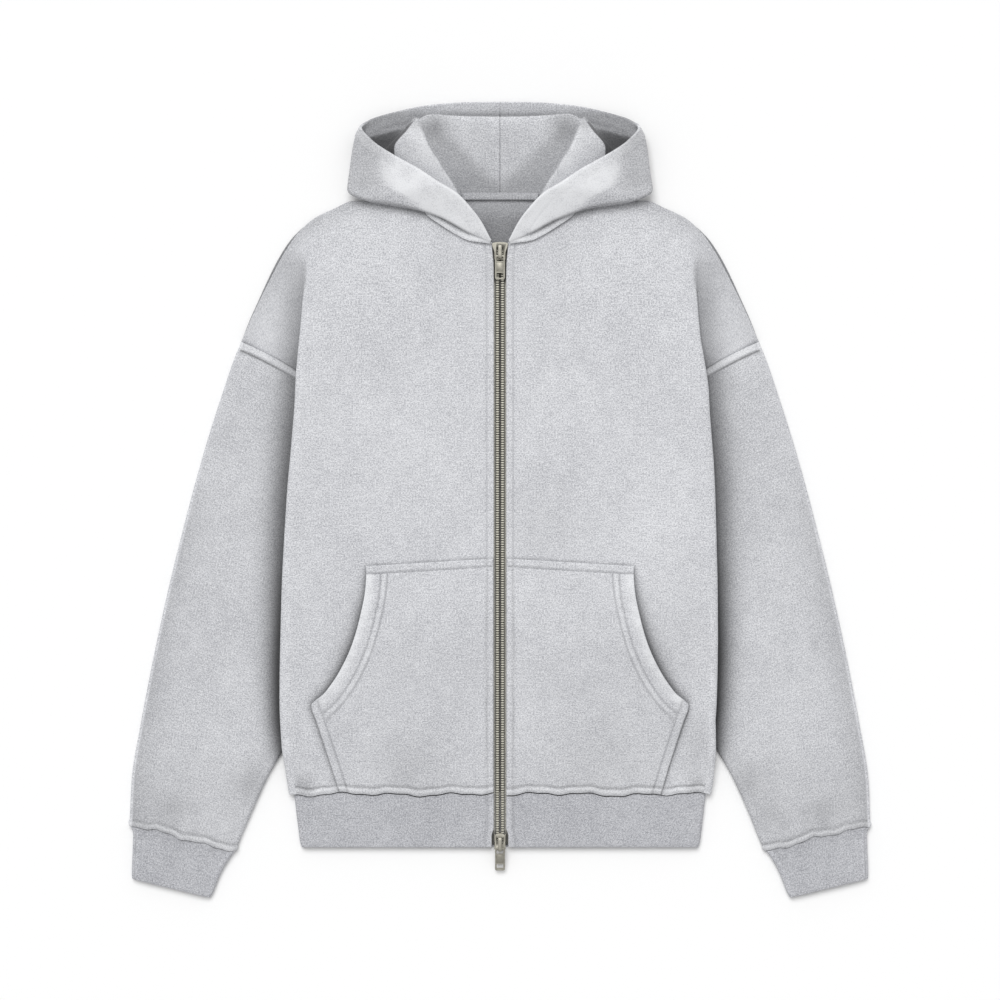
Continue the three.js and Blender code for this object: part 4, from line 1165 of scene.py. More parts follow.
sleeve_rows = np.concatenate([np.linspace(0, 0.03, 16), np.linspace(0.034, 0.96, 150),
                              np.linspace(0.964, 1, 20)])
sleeve_shares, sleeve_full = edged(sleeve_rows, 560)
sleeve_full[:len(SEAM_FULL)], sleeve_full[-len(SEAM_FULL):] = SEAM_FULL, SEAM_FULL[::-1]
cuff_shares, cuff_full = edged(np.linspace(0, 1, 44), 58)
cuff_full[:len(SEAM_FULL)] = SEAM_FULL
for label, side in SIDES.items():
    rings, top = tube_grid(SLEEVE, CLOTH, sleeve_shares)
    rings = ring_wave(rings, sleeve_shares, -0.05, 2 * side)
    grid = place(side, rings[..., 0], rings[..., 1], rings[..., 2])
    n = grid_normals(grid, True, (60, 40))
    lift = creases(grid, side, SLEEVE_CREASES[label]) + swells(grid, 80, 1.1, 8 + side)
    start, end = ring_distance(grid, True), ring_distance(grid, False)
    lift = (lift + 1.3) * top * smooth(start / 25) * smooth(end / 14)
    grid = grid + n * lift[..., None]
    relief = seam_band(start) * top + np.exp(-end / 12) * tube_puckers(rings[:1, :, 0], 2 * side)
    relief = (relief + rope(end)) * not_under
    # The raised armhole band and the rope at the cuff are paler, partly washed-out wear and partly painted
    # highlight.
    on_band = near(start - ARM_BAND / 2, 3.6, 4)
    wear = np.clip(0.45 * on_band + 0.4 * near(end - ROPE_AT, 2.2), 0, 1)
    # Painted shade in the stitching groove beside the armhole band.
    arm_groove_shade = 0.6 * near(start - ARM_BAND - 0.4, 1.3)
    out, down = rings[..., 0], rings[..., 1]
    # Painted shade on the sleeve beside the body fold, lighter on the seam band.
    dark = beside_fold(out - fold_shift(side, down), down) * (1 - 0.45 * on_band)
    # A slightly darker base tone of the sleeve, painted shade along its outer fold and towards the cuff, and
    # soft patches of painted shade.
    soft = 0.075 + 0.16 * near(out[:, :1] - out, 15, 1.5) * smooth((down - 440) / 110)
    soft = soft + 0.07 * smooth((down - 735) / 45) + soft_shade_spots(out, down, SLEEVE_SHADE_SPOTS[label])
    inner = np.clip(np.maximum(dark, arm_groove_shade + rope_shade(end)) + soft, 0, 0.95) * on_top
    sleeve, surface = wall("sleeve_" + label + "_cloth", grid, CLOTH * sleeve_full[:, None], True,
                           (60, 40), relief=relief, wear=wear, inner=inner)
    finish(sleeve, fleece)
    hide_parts("sleeve_" + label)
    for distance, line in ((start, 0.7 * ARM_BAND), (end, ROPE_LINE)):
        seam = int(np.argmin(abs(distance[:, 40] - line)))
        STITCHES.append(surface[seam, 3:RING_FRONT - 3])

    rings, top = tube_grid(CUFF, RIB, cuff_shares)
    rings = ring_wave(rings, cuff_shares, 0.7, 2 * side)
    grid = place(side, rings[..., 0], rings[..., 1], rings[..., 2])
    start = ring_distance(grid, True)
    swell = smooth(start / 10) * 0.5 * top
    grid = grid + grid_normals(grid, True, (10, 40)) * swell[..., None]
    puckers = np.exp(-start / 12) * tube_puckers(rings[:1, :, 0], 2 * side)
    # Painted shade just below the gathered seam, and a slightly darker base tone of the rib.
    inner = (0.06 + 0.14 * near(start, 9) + 0.08 * near(start, 1.6)) * smooth(top * 4)
    cuff, _ = wall("cuff_" + label + "_rib", grid, RIB * cuff_full[:, None], True, (10, 40),
                   relief=puckers * on_top, inner=inner)
    finish(cuff, rib_knit)
    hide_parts("cuff_" + label)
    print(sleeve.name, cuff.name, len(sleeve.data.polygons) + len(cuff.data.polygons), "faces")

# %% [markdown]
# The hem band is one strip of double rib knit. It starts at the zip, goes round the side, across the
# back and round to the zip again. The fleece is gathered into it, so the seam between them waves a
# little, and the fold at the bottom is round.

# %% Hem band
hem_down, hem_out, hem_z = (track(HEM, "share", key) for key in ("down", "out", "z"))
HEM_LOW = RIB / 2
hem_shares, hem_full = edged(np.linspace(0, 1, 40), 58)
hem_full[:len(SEAM_FULL)] = SEAM_FULL


def hem_half(share):
    """One row of the band from the zip round the side to the middle of the back."""
    out, top = hem_out(share), hem_z(share)
    turn = (top - HEM_LOW) / 2
    front, front_full = edged(np.linspace(0, 1, 110), 200, end=False)
    outs = [mix(ZIP_EDGE_OUT, out - 6, front)]
    zs = [mix(ZIP_EDGE_Z + 0.1, top, smooth(front))]
    angle = np.radians(np.linspace(74, -74, 11))
    outs.append(out - turn - 1 + np.cos(angle) * turn)
    zs.append(HEM_LOW + turn + np.sin(angle) * turn)
    back = np.linspace(0, 1, 44)[:-1]
    outs.append(mix(out - 6, 0.0, back))
    zs.append(back * 0 + HEM_LOW)
    outs, zs = np.concatenate(outs), np.concatenate(zs)
    full = np.concatenate([front_full, np.ones(len(outs) - len(front_full))])
    return np.stack([outs, outs * 0 + hem_down(share), zs], -1), full, len(front)


halves = [hem_half(share) for share in hem_shares]
half = np.array([h[0] for h in halves])
front_count = halves[0][2]
middle = half[:, -1:] * [0, 1, 1]
whole = np.concatenate([half, middle, (half * [-1, 1, 1])[:, ::-1]], axis=1)
across_full = np.concatenate([halves[0][1], [1], halves[0][1][::-1]])
outs = abs(whole[..., 0])
columns = whole.shape[1]
side_sign = np.where(np.arange(columns) < columns // 2, -1, 1)
drop = smooth(1 - hem_shares / 0.7)[:, None] * (seam_wave(outs, 1.1 * side_sign) + 0.5)
widened = np.sign(whole[..., 0]) * gape(whole[..., 1]) * smooth((34 - outs) / 24)
on_front_face = (whole[..., 2] > ZIP_EDGE_Z - 1.0) * 1.0
whole = whole + np.stack([widened * on_front_face, drop, drop * 0], -1)
grid = place(-1, whole[..., 0], whole[..., 1], whole[..., 2])
is_front = np.zeros(columns)
is_front[:front_count + 4] = 1
is_front[-front_count - 4:] = 1
depth = ((hem_down(hem_shares) - HEM_SEAM_DOWN - 0.3) * UNIT)[:, None] * np.ones(columns)
puckers = np.exp(-depth / 12) * pucker_wave(outs, side_sign) * 0.5
relief = is_front * (placket(outs) * smooth((20 - outs) / 3) + puckers)
# Paler beside the zip, partly washed-out wear and partly painted highlight on the raised placket.
wear = 0.2 * smooth((12 - outs) / 4) * is_front
# Painted shade in the seam at the top of the band and in the placket groove, and a slightly darker base tone
# of the rib.
inner = is_front * (np.maximum(0.1 * near(depth, 1.6), 0.26 * near(outs - PLACKET, 1.0)) + 0.07)
hem, surface = wall("hem_band_rib", grid, RIB * hem_full[:, None] * across_full, False, (15, 30),
                    relief=relief, wear=wear, inner=inner)
finish(hem, rib_knit)
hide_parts("hem_band")
placket_column = int(np.argmin(abs(outs[15, :front_count] - PLACKET)))
STITCHES.append(surface[4:-3, placket_column])
STITCHES.append(surface[4:-3, columns - 1 - placket_column])
print(hem.name, len(hem.data.polygons), "faces")

# %% [markdown]
# The hood is two halves with a seam down the middle. Laid open, it makes a low bowl: the cloth rises
# from the neck seam to a ridge, drops into the hollow behind it, turns over at the outer fold and
# comes back to the hemmed rim, which crosses over the front of the neck. Each station of the hood is
# one smooth curve through five places, and the stations follow each other from the back to the zip.

# %% Hood
LAST_STATION = 13
HOOD_SHARES = np.concatenate([np.linspace(0, 0.24, 44), np.linspace(0.2475, 0.275, 6),
                              np.linspace(0.29, 0.74, 20), np.linspace(0.752, 1, 30)])
HOOD_HEM = 15
HOOD_CREASES = {
    "left": [(80, 120, 69, 147, 3.5, -1.2), (69, 147, 43, 194, 4, -1.0), (60, 160, 20, 186, 9, 0.7),
             (96, 196, 132, 204, 6, 0.6)],
    "right": [(78, 121, 66, 150, 3.5, -1.0), (67, 150, 45, 192, 4, -0.8), (56, 150, 16, 178, 9, 0.6),
              (92, 200, 128, 198, 6, 0.7)],
}


def catmull_rom(keys, shares):
    """Centripetal Catmull-Rom curves through rows of key points, at shares of their spans."""
    first = 2 * keys[:, :1] - keys[:, 1:2]
    last = 2 * keys[:, -1:] - keys[:, -2:-1]
    keys = np.concatenate([first, keys, last], axis=1)
    t = np.asarray(shares) * (keys.shape[1] - 3)
    span = np.minimum(t.astype(int), keys.shape[1] - 4)
    w = (t - span)[None, :, None]
    p0, p1, p2, p3 = (keys[:, span + k] for k in range(4))
    d0, d1, d2 = (np.maximum(np.linalg.norm(b - a, axis=2, keepdims=True), 1e-6) ** 0.5
                  for a, b in ((p0, p1), (p1, p2), (p2, p3)))
    t1 = ((p1 - p0) / d0 - (p2 - p0) / (d0 + d1) + (p2 - p1) / d1) * d1
    t2 = ((p2 - p1) / d1 - (p3 - p1) / (d1 + d2) + (p3 - p2) / d2) * d1
    return (p1 + w * t1 + w ** 2 * (-3 * p1 + 3 * p2 - 2 * t1 - t2)
            + w ** 3 * (2 * p1 - 2 * p2 + t1 + t2))


HOOD_CREASE = [(88, 104), (83, 118), (78, 132), (74, 142), (69, 152), (62, 162), (56, 172), (48, 183),
               (40, 196), (30, 214)]
NECK_CREASE = 9.4


def crease_side(points, side):
    """Distance from the crease inside the hood: above 0 on the flap, below 0 on the back of the bowl."""
    flat = np.stack([points[..., 0] / UNIT * side, DOWN_OF_Y_ZERO - points[..., 1] / UNIT], -1)
    line = np.array(HOOD_CREASE, float)
    crease_out = np.interp(flat[..., 1], line[:, 1], line[:, 0])
    return np.sign(flat[..., 0] - crease_out) * distance_to(flat, line)


def hood_grid(side, stations):
    """Middle of the hood's cloth: one curve from neck to rim at each station."""
    keys = []
    for name in HOOD_PLACES:
        rows = HOOD[name]
        out, down, z = (track(rows, "at", key)(stations) for key in ("out", "down", "z"))
        keys.append(place(side, np.maximum(out, 0.05), down, z))
    return catmull_rom(np.stack(keys, axis=1), HOOD_SHARES)


def hood_lift(grid, label, at):
    """How far the creases, the swells and the step beside the flap lift the cloth, in millimetres."""
    side = SIDES[label]
    lift = creases(grid, side, HOOD_CREASES[label]) + swells(grid, 45, 1.4, 20 + side)
    lift = lift * smooth(at.station / 0.8) * smooth((12.2 - at.station) / 1.5) * arch(at.section)
    step = 3.2 * smooth(at.flap / 2.4 + 0.5) * np.exp(-np.maximum(at.flap, 0) / 16)
    step = step - 1.4 * np.exp(-abs(at.flap + 3) / 5)
    inside = smooth((0.36 - at.section) / 0.06) * smooth(at.section / 0.1)
    return lift + step * inside * smooth(at.out / 14)


print("hood rows of", len(HOOD_SHARES), "points")

# %% [markdown]
# The hood has the widest range of painted light and shade. Its turned rim is paler near the V, partly
# washed-out wear and partly painted highlight, its bowl is grey with painted shade and a darker streak
# of painted shadow on each side, and the hollow between ridge and rim has the darkest painted shade of
# the garment. Each of these has its own small function of the same few distances: the station round
# the hood, the share of the way from neck to rim, and how far a point lies from seam, rim and crease.

# %% Painted shade and highlight of the hood
BOWL_END = 0.262


def hood_wear_and_highlight(at):
    """Paler places, partly washed-out wear and partly painted highlight: the rim near the V, the seam rope,
    and the lit flap beside its crease.
    """
    reach = mix(17, 52, smooth((at.station - 6.5) / 2))
    strength = 0.35 + 0.65 * smooth((at.station - 6.5) / 2.5)
    wear = at.lapel * smooth((reach - at.rim) / 12) * strength
    on_rope = 0.55 + 0.4 * smooth((at.station - 11) / 1.2)
    wear = wear + on_rope * near(at.neck - ROPE_AT, 2.6) * at.front
    return np.clip(wear + at.on_flap * (0.08 + 0.42 * near(np.maximum(at.flap, 0), 13)), 0, 1)


def bowl_shade(at):
    """Painted shade on the back of the bowl with its shadow streaks, on the flap beside it and along the
    middle seam.
    """
    shadow_streak = at.down - 122 - 0.92 * (64 - np.minimum(at.out, 64))
    low_part = 0.08 * smooth((at.down - 165) / 22) + 0.04 * near(at.down - 191, 1.6)
    back = 0.02 + 0.25 * smooth(shadow_streak / 20 + 0.3) + low_part
    back = back + soft_shade_spots(at.out, at.down, [(64, 123, 16, 0.32)])
    back = back * smooth(0.5 - at.flap / 1.6) * smooth((11.2 - at.station) / 0.8) * at.in_bowl
    beside = (0.1 * smooth((at.flap - 9) / 14) + 0.3 * smooth((138 - at.down) / 16)) * at.on_flap
    return back + beside + 0.11 * near(at.out, 0.9) * smooth((0.4 - at.section) / 0.1)


def hollow_shade(at):
    """Painted shade in the hollow between ridge and rim, darkest below the band of the rim."""
    hollow = smooth((at.section - 0.255) / 0.012) * smooth((0.8 - at.section) / 0.06)
    rim_shade = 0.08 + 0.3 * smooth((13.5 - at.rim) / -13)
    deep = smooth((at.station - 2.6) / 0.9) * smooth((6.4 - at.station) / 0.8)
    below_band = smooth((at.down - 124 - 0.275 * (at.out - 91)) / 3.5)
    deepest = 0.76 + 0.14 * smooth((at.down - 126) / 18)
    return hollow * mix(rim_shade, mix(0.34, deepest, below_band), deep)


def outer_shade(at):
    """Painted shade on the band at the top, on the outer side of the rim, and in the crease and seam at the
    neck.
    """
    band = smooth((at.section - 0.5) / 0.1) * smooth((5.2 - at.station) / 1.2)
    band = band * (0.02 + 0.4 * smooth((at.down - 104.5) / 12))
    outside = 0.27 * smooth((at.out - 98) / 38) * at.lapel * (1 - 0.8 * smooth((at.down - 182) / 14))
    crease = 0.4 * near(at.neck - NECK_CREASE, 2.2)
    crease = crease * smooth((at.station - 9.4) / 1) * smooth((12.7 - at.station) / 0.9)
    return np.maximum.reduce([band, outside, crease, 0.12 * near(at.neck, 1.4) * at.front])


def hood_relief(at, room, rim_turn):
    """The turned rim, the middle seam, and the seam at the neck with its rope in front."""
    neck_turn = 0.5 * smooth((SEAM_BAND - at.neck) / 1.2) * (1 - at.front)
    centre = 0.25 * near(at.out - 2.2, 1.6) * smooth(at.neck / 6)
    beside = smooth((12.8 - at.station) / 1.2) * near(at.neck - NECK_CREASE, 2.0)
    neck_rope = at.front * (1.7 * near(at.neck - ROPE_AT, 2.8) - beside)
    return (rim_turn + neck_turn) * room + centre + neck_rope * room


station_share, station_full = edged(np.linspace(0, 1, 190), 420)
for label, side in SIDES.items():
    grid = hood_grid(side, station_share * LAST_STATION)
    n = grid_normals(grid, False, (10, 10))
    at = SimpleNamespace(station=station_share[:, None] * LAST_STATION, section=HOOD_SHARES[None, :],
                         out=abs(grid[..., 0]) / UNIT, flap=crease_side(grid, side))
    grid = grid + n * hood_lift(grid, label, at)[..., None]
    at.down = DOWN_OF_Y_ZERO - grid[..., 1] / UNIT
    at.neck = row_length(grid)
    at.rim = at.neck[:, -1:] - at.neck
    at.front = smooth((at.station - 8.2) / 1.2)
    at.lapel = smooth((at.section - 0.6) / 0.1) * smooth((at.station - 4.6) / 1.2)
    at.in_bowl = smooth((BOWL_END - at.section) / 0.012)
    at.on_flap = smooth(0.5 + at.flap / 1.6) * at.in_bowl
    room = smooth(at.neck[:, -1:] / 30)
    rim_turn = 0.45 * smooth((HOOD_HEM - at.rim) / 1.5) - 0.35 * np.exp(-((at.rim - HOOD_HEM) / 0.8) ** 2)
    round_rim = np.sqrt(np.clip(1 - np.clip(1 - at.rim / 1.3, 0, 1) ** 2, 0.08, 1))
    # The hood's inner value is the painted shade of the three functions above.
    inner = np.clip(np.maximum.reduce([bowl_shade(at), hollow_shade(at), outer_shade(at)]), 0, 0.9)
    hood, _ = wall("hood_" + label + "_cloth", grid, CLOTH * station_full[:, None] * round_rim,
                   False, (10, 10), relief=hood_relief(at, room, rim_turn),
                   relief_back=rim_turn * room * 0.6, wear=hood_wear_and_highlight(at), inner=inner,
                   uv=grid[..., :2] * 0.001)
    finish(hood, fleece)
    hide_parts("hood_" + label)
    print(hood.name, len(hood.data.polygons), "faces")

# %% [markdown]
# A narrow tape covers the seam at the back of the neck, so that the seam doesn't rub. It is a flat
# strip with a line of stitching along each edge, seen inside the hood.

# %% Neck tape
NECK_TAPE = table("out high low z", [(0, 192, 199.6, 5.2), (22, 192, 199.6, 5.3), (38, 192.4, 199.8, 6.2)])
TAPE = 1.0
TAPE_LINES = (0.2, 0.8)
across = np.linspace(-38, 38, 70)
share, tape_full = edged(np.linspace(0, 1, 12), 8)
high, low, z = (track(NECK_TAPE, "out", key)(abs(across)) for key in ("high", "low", "z"))
down = mix(high[None, :], low[None, :], share[:, None])
grid = place(1, across[None, :] + down * 0, down, z[None, :] + down * 0)
edge_groove = -0.25 * sum(near(share - line, 0.08) for line in TAPE_LINES)
# Painted shade on the tape, darkest towards its lower edge and just under the hood above it.
inner = 0.3 + 0.3 * smooth((share - 0.68) / 0.2) + 0.1 * near(share, 0.12)
tape, surface = wall("neck_tape_cloth", grid, TAPE * tape_full[:, None], False, (5, 30),
                     relief=edge_groove[:, None], inner=inner[:, None])
finish(tape, fleece)
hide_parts("neck_tape")
STITCHES.extend(surface[int(np.argmin(abs(share - line)))] for line in TAPE_LINES)
print(tape.name, len(tape.data.polygons), "faces")

# %% [markdown]
# The zip has a woven tape on each side, sewn under the placket, and its metal teeth are clamped on the
# two facing edges. The teeth repeat at an even pitch, half a pitch apart on the two sides. That is
# work for Geometry Nodes: a line, resampled by length, with one small tooth at each of its points. The
# result is turned into a plain mesh.

# %% Zip tapes and teeth
TAPE_Z = 5.4
TAPE_REACH = 18
TAPE_DOWN = (244, 845)
CHAIN_OUT = 4.3
CHAIN_DOWN = (250.5, 842.5)
RIGHT_TEETH_LOWER = 0.6
TOOTH_PITCH = 0.00252
TOOTH_LONG = 4.3
TOOTH_HALF = 0.98
TOOTH_RISE = 1.4


def y_of(down):
    return (DOWN_OF_Y_ZERO - down) * UNIT


def points_object(name, lines):
    """Polylines in millimetres as a mesh of edges, in metres."""
    points, edges = [], []
    for line in lines:
        start = len(points)
        points.extend((np.asarray(line) * 0.001).tolist())
        edges.extend((start + k, start + k + 1) for k in range(len(line) - 1))
    mesh = bpy.data.meshes.new(name)
    mesh.from_pydata(points, edges, [])
    return new_object(name, mesh)


REPEAT_INPUTS = (("Lines", "Geometry"), ("Piece", "Object"), ("Pitch", "Float"), ("Material", "Material"),
                 ("Wobble", "Float"))
REPEAT_NODES = {
    "given": "NodeGroupInput", "curve": "GeometryNodeMeshToCurve", "even": "GeometryNodeResampleCurve",
    "tangent": "GeometryNodeInputTangent", "turn": "FunctionNodeAlignRotationToVector",
    "piece": "GeometryNodeObjectInfo", "low": "ShaderNodeVectorMath", "high": "ShaderNodeVectorMath",
    "spread": "FunctionNodeRandomValue", "wobble": "FunctionNodeEulerToRotation",
    "turned": "FunctionNodeRotateRotation", "copies": "GeometryNodeInstanceOnPoints",
    "real": "GeometryNodeRealizeInstances", "paint": "GeometryNodeSetMaterial",
    "result": "NodeGroupOutput",
}
REPEAT_LINKS = (
    ("given", "Lines", "curve", 0), ("curve", 0, "even", "Curve"), ("given", "Pitch", "even", "Length"),
    ("even", 0, "copies", "Points"), ("given", "Piece", "piece", "Object"),
    ("piece", "Geometry", "copies", "Instance"), ("tangent", 0, "turn", "Vector"),
    ("given", "Wobble", "low", "Scale"), ("given", "Wobble", "high", "Scale"), ("low", 0, "spread", 0),
    ("high", 0, "spread", 1), ("spread", 0, "wobble", 0), ("turn", 0, "turned", 0),
    ("wobble", 0, "turned", 1), ("turned", 0, "copies", "Rotation"), ("copies", 0, "real", 0),
    ("real", 0, "paint", "Geometry"), ("given", "Material", "paint", "Material"),
    ("paint", 0, "result", 0),
)
WOBBLE_SEED = 7


def repeat_tree(name):
    """Nodes that put a small mesh along lines: its inputs are the lines, the mesh, pitch and material."""
    tree = bpy.data.node_groups.new(name, "GeometryNodeTree")
    for title, kind in REPEAT_INPUTS:
        tree.interface.new_socket(title, in_out="INPUT", socket_type="NodeSocket" + kind)
    tree.interface.new_socket("Geometry", in_out="OUTPUT", socket_type="NodeSocketGeometry")
    nodes = {key: tree.nodes.new(kind) for key, kind in REPEAT_NODES.items()}
    nodes["even"].mode = "LENGTH"
    nodes["turn"].axis = "X"
    nodes["spread"].data_type = "FLOAT_VECTOR"
    nodes["spread"].inputs["Seed"].default_value = WOBBLE_SEED
    for key, sign in (("low", -1), ("high", 1)):
        nodes[key].operation = "SCALE"
        nodes[key].inputs[0].default_value = (sign, sign, sign)
    for start, output, end, entry in REPEAT_LINKS:
        tree.links.new(nodes[start].outputs[output], nodes[end].inputs[entry])
    return tree


def repeated(name, lines, piece, pitch, material, wobble=0.0):
    """A small mesh repeated along lines, as one plain mesh."""
    carrier = points_object(name + "_lines", lines)
    modifier = carrier.modifiers.new("repeat", "NODES")
    modifier.node_group = REPEAT
    sockets = {item.name: item.identifier for item in REPEAT.interface.items_tree}
    modifier[sockets["Piece"]] = piece
    modifier[sockets["Pitch"]] = pitch
    modifier[sockets["Material"]] = material
    modifier[sockets["Wobble"]] = wobble
    bpy.context.view_layer.update()
    evaluated = carrier.evaluated_get(bpy.context.evaluated_depsgraph_get())
    mesh = bpy.data.meshes.new_from_object(evaluated)
    mesh.name = name
    carrier.modifiers.clear()
    bpy.data.objects.remove(carrier)
    return new_object(name, mesh)


def every_edge(shape):
    return shape.edges[:] + shape.verts[:]


def bevelled(name, points, faces, bevel, segments, picked=every_edge):
    """A mesh from points in millimetres, with a bevel on what the last function picks."""
    mesh = bpy.data.meshes.new(name)
    mesh.from_pydata((np.array(points) * 0.001).tolist(), [], faces)
    shape = bmesh.new()
    shape.from_mesh(mesh)
    if bevel:
        bmesh.ops.bevel(shape, geom=picked(shape), offset=bevel * 0.001, segments=segments, profile=0.6,
                        affect="EDGES")
    bmesh.ops.recalc_face_normals(shape, faces=shape.faces[:])
    shape.to_mesh(mesh)
    shape.free()
    return mesh


def bar(name, low, high, bevel, segments=1, taper=1.0):
    """A block between two corners in millimetres with bevelled edges, narrower at its top by taper."""
    (x0, y0, z0), (x1, y1, z1) = low, high
    cx, cy = (x0 + x1) / 2, (y0 + y1) / 2
    corners = ((x0, y0), (x1, y0), (x1, y1), (x0, y1))
    points = [(x, y, z0) for x, y in corners]
    points += [(cx + (x - cx) * taper, cy + (y - cy) * taper, z1) for x, y in corners]
    faces = [(3, 2, 1, 0), (4, 5, 6, 7), (0, 1, 5, 4), (1, 2, 6, 5), (2, 3, 7, 6), (3, 0, 4, 7)]
    return bevelled(name, points, faces, bevel, segments)


REPEAT = repeat_tree("repeat_along_lines")
tape_cols, tape_side_full = edged(np.linspace(0, 1, 12), 14)
tape_rows, tape_end_full = edged(np.linspace(0, 1, 120), 630)
for label, side in SIDES.items():
    out = mix(CHAIN_OUT + SEAM_GAP / UNIT, TAPE_REACH, tape_cols)[None, :]
    down = mix(*TAPE_DOWN, tape_rows)[:, None]
    grid = place(side, out + down * 0, down + out * 0, TAPE_Z)
    cord_edge = 0.35 * np.exp(-((out - CHAIN_OUT - 0.9) / 0.7) ** 2) + down * 0
    # Painted shade on the tape beside the two sliders.
    shade_beside_slider = 0.8 * (smooth((284 - down) / 5) + smooth((down - 829) / 5)) + out * 0
    tape, _ = wall("zip_tape_" + label + "_cloth", grid, TAPE * tape_end_full[:, None] * tape_side_full,
                   False, (5, 5), relief=cord_edge, inner=shade_beside_slider)
    finish(tape, tape_cloth)
    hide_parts("zip_tape_" + label)

tooth = bpy.data.objects.new("tooth_pattern", bar(
    "tooth_pattern", (-TOOTH_HALF, -TOOTH_LONG / 2, -TOOTH_RISE), (TOOTH_HALF, TOOTH_LONG / 2, TOOTH_RISE),
    0.4, taper=0.84))
for label, side in SIDES.items():
    centre = side * (SEAM_GAP / 2 + TOOTH_LONG / 2 + 0.1)
    start = CHAIN_DOWN[0] + RIGHT_TEETH_LOWER * max(side, 0)
    line = [(centre, y_of(start), TAPE_Z), (centre, y_of(CHAIN_DOWN[1]), TAPE_Z)]
    teeth = repeated("zip_teeth_" + label, [line], tooth, TOOTH_PITCH, teeth_metal)
    finish(teeth, teeth_metal)
    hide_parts("zip_chain_" + label)
    print(teeth.name, len(teeth.data.polygons), "faces")
bpy.data.objects.remove(tooth)

# %% [markdown]
# The zip opens from both ends, so it has two sliders. A slider is cast: a top plate and a bottom plate
# joined by a wedge, with side lips that hold the teeth together, and a bail over the top plate in
# which the pull swings. Two slots run through the top plate beside the bail. The pull is a flat frame
# with a recessed middle and a small window at its end. Each is built from rounded outlines with
# bevelled edges, since a cast edge is never sharp, and a Boolean cuts the slots.

# %% Sliders and pulls
PLATE_LOW, PLATE_HIGH = 8.9, 10.1
BASE_LOW, BASE_HIGH = 2.7, 3.6
AXIS_Z = 12.4
BAIL_HALF = 1.9
BAIL_STEPS = 60
BAIL_PATH = [(-2.3, 9.8), (-2.3, 12.6), (-1.6, 13.8), (0.0, 14.3), (4.8, 14.35), (9.6, 14.3),
             (11.3, 13.8), (12.0, 12.6), (12.0, 9.8)]
SLOT_X = (2.2, 3.5)
LIP_X = (5.0, 5.9)
LINE_X = (1.9, 2.5)
PANEL_X = 3.8
SLIDERS = {
    "top": {"wedge": (243, 247.4), "end": 242, "mouth": 246, "waist": 252.5, "plate_end": 260,
            "lip_short": 0.6, "slots": (247.2, 256.6), "wide": 8.7, "axis": 256.2, "tilt": 3,
            "window": (-22.9, -17.6)},
    "bottom": {"wedge": (845.2, 849.6), "end": 850.6, "mouth": 846, "waist": 842, "plate_end": 833.5,
               "lip_short": -0.6, "slots": (838, 843.5), "wide": 6.2, "axis": 848.6, "tilt": 17,
               "window": (-21.6, -17.2)},
}


def softened(outline, times=2):
    """A closed outline with its corners cut again and again, so that it is round."""
    points = np.array(outline, float)
    for _ in range(times):
        after = np.roll(points, -1, axis=0)
        points = np.stack([points * 0.78 + after * 0.22, points * 0.22 + after * 0.78], 1).reshape(-1, 2)
    return points


def rim_edges(shape):
    """The level edges between a flat face and an upright one."""
    level = [e for e in shape.edges if abs(e.verts[0].co.z - e.verts[1].co.z) < 1e-7]
    return [e for e in level if len({round(f.normal.z) for f in e.link_faces}) > 1]


def plate_mesh(name, outline, low, high, bevel):
    """A flat plate with rounded rims."""
    count = len(outline)
    points = [(x, y, z) for z in (low, high) for x, y in outline]
    faces = [tuple(range(count))[::-1], tuple(range(count, 2 * count))]
    faces += [(k, (k + 1) % count, count + (k + 1) % count, count + k) for k in range(count)]
    return bevelled(name, points, faces, bevel, 3, rim_edges)


def rounded_box(x0, y0, x1, y1, radius, steps=5):
    points = []
    for cx, cy, start in ((x1 - radius, y1 - radius, 0), (x0 + radius, y1 - radius, 90),
                          (x0 + radius, y0 + radius, 180), (x1 - radius, y0 + radius, 270)):
        for k in range(steps + 1):
            a = math.radians(start + 90 * k / steps)
            points.append((cx + radius * math.cos(a), cy + radius * math.sin(a)))
    return points


def frame_mesh(name, outer, inner, low, high, bevel):
    """A flat frame between two outlines of the same count, with rounded rims."""
    count = len(outer)
    points = [(x, y, z) for z in (low, high) for ring in (outer, inner) for x, y in ring]
    faces = []
    for k in range(count):
        j = (k + 1) % count
        o0, o1, i0, i1 = k, j, count + k, count + j
        up = 2 * count
        faces += [(o1, o0, i0, i1), (up + o0, up + o1, up + i1, up + i0),
                  (o0, o1, up + o1, up + o0), (i1, i0, up + i0, up + i1)]
    return bevelled(name, points, faces, bevel, 2, rim_edges)


def joined(name, meshes, turn=0.0, at=(0, 0, 0)):
    """Several meshes as one object, turned about the X axis and moved, in its vertices."""
    shape = bmesh.new()
    for mesh in meshes:
        shape.from_mesh(mesh)
        bpy.data.meshes.remove(mesh)
    matrix = Matrix.Translation(Vector(at) * 0.001) @ Matrix.Rotation(math.radians(turn), 4, "X")
    shape.transform(matrix)
    mesh = bpy.data.meshes.new(name)
    shape.to_mesh(mesh)
    shape.free()
    mesh.shade_smooth()
    return new_object(name, mesh)


def bail_mesh(axis_y):
    """The loop over the top plate, swept along a rounded path."""
    path = catmull_rom(np.array(BAIL_PATH)[None], np.linspace(0, 1, BAIL_STEPS))[0]
    share, full = edged(np.linspace(0, 1, 10), 2 * BAIL_HALF)
    x = mix(-BAIL_HALF, BAIL_HALF, share)
    grid = np.stack([np.broadcast_to(x, (BAIL_STEPS, len(x))), axis_y + path[:, :1] + x * 0,
                     path[:, 1:] + x * 0], -1)
    loop, _ = wall("bail", grid, 1.0 * full, False, (30, 5))
    mesh = loop.data
    bpy.data.objects.remove(loop)
    return mesh


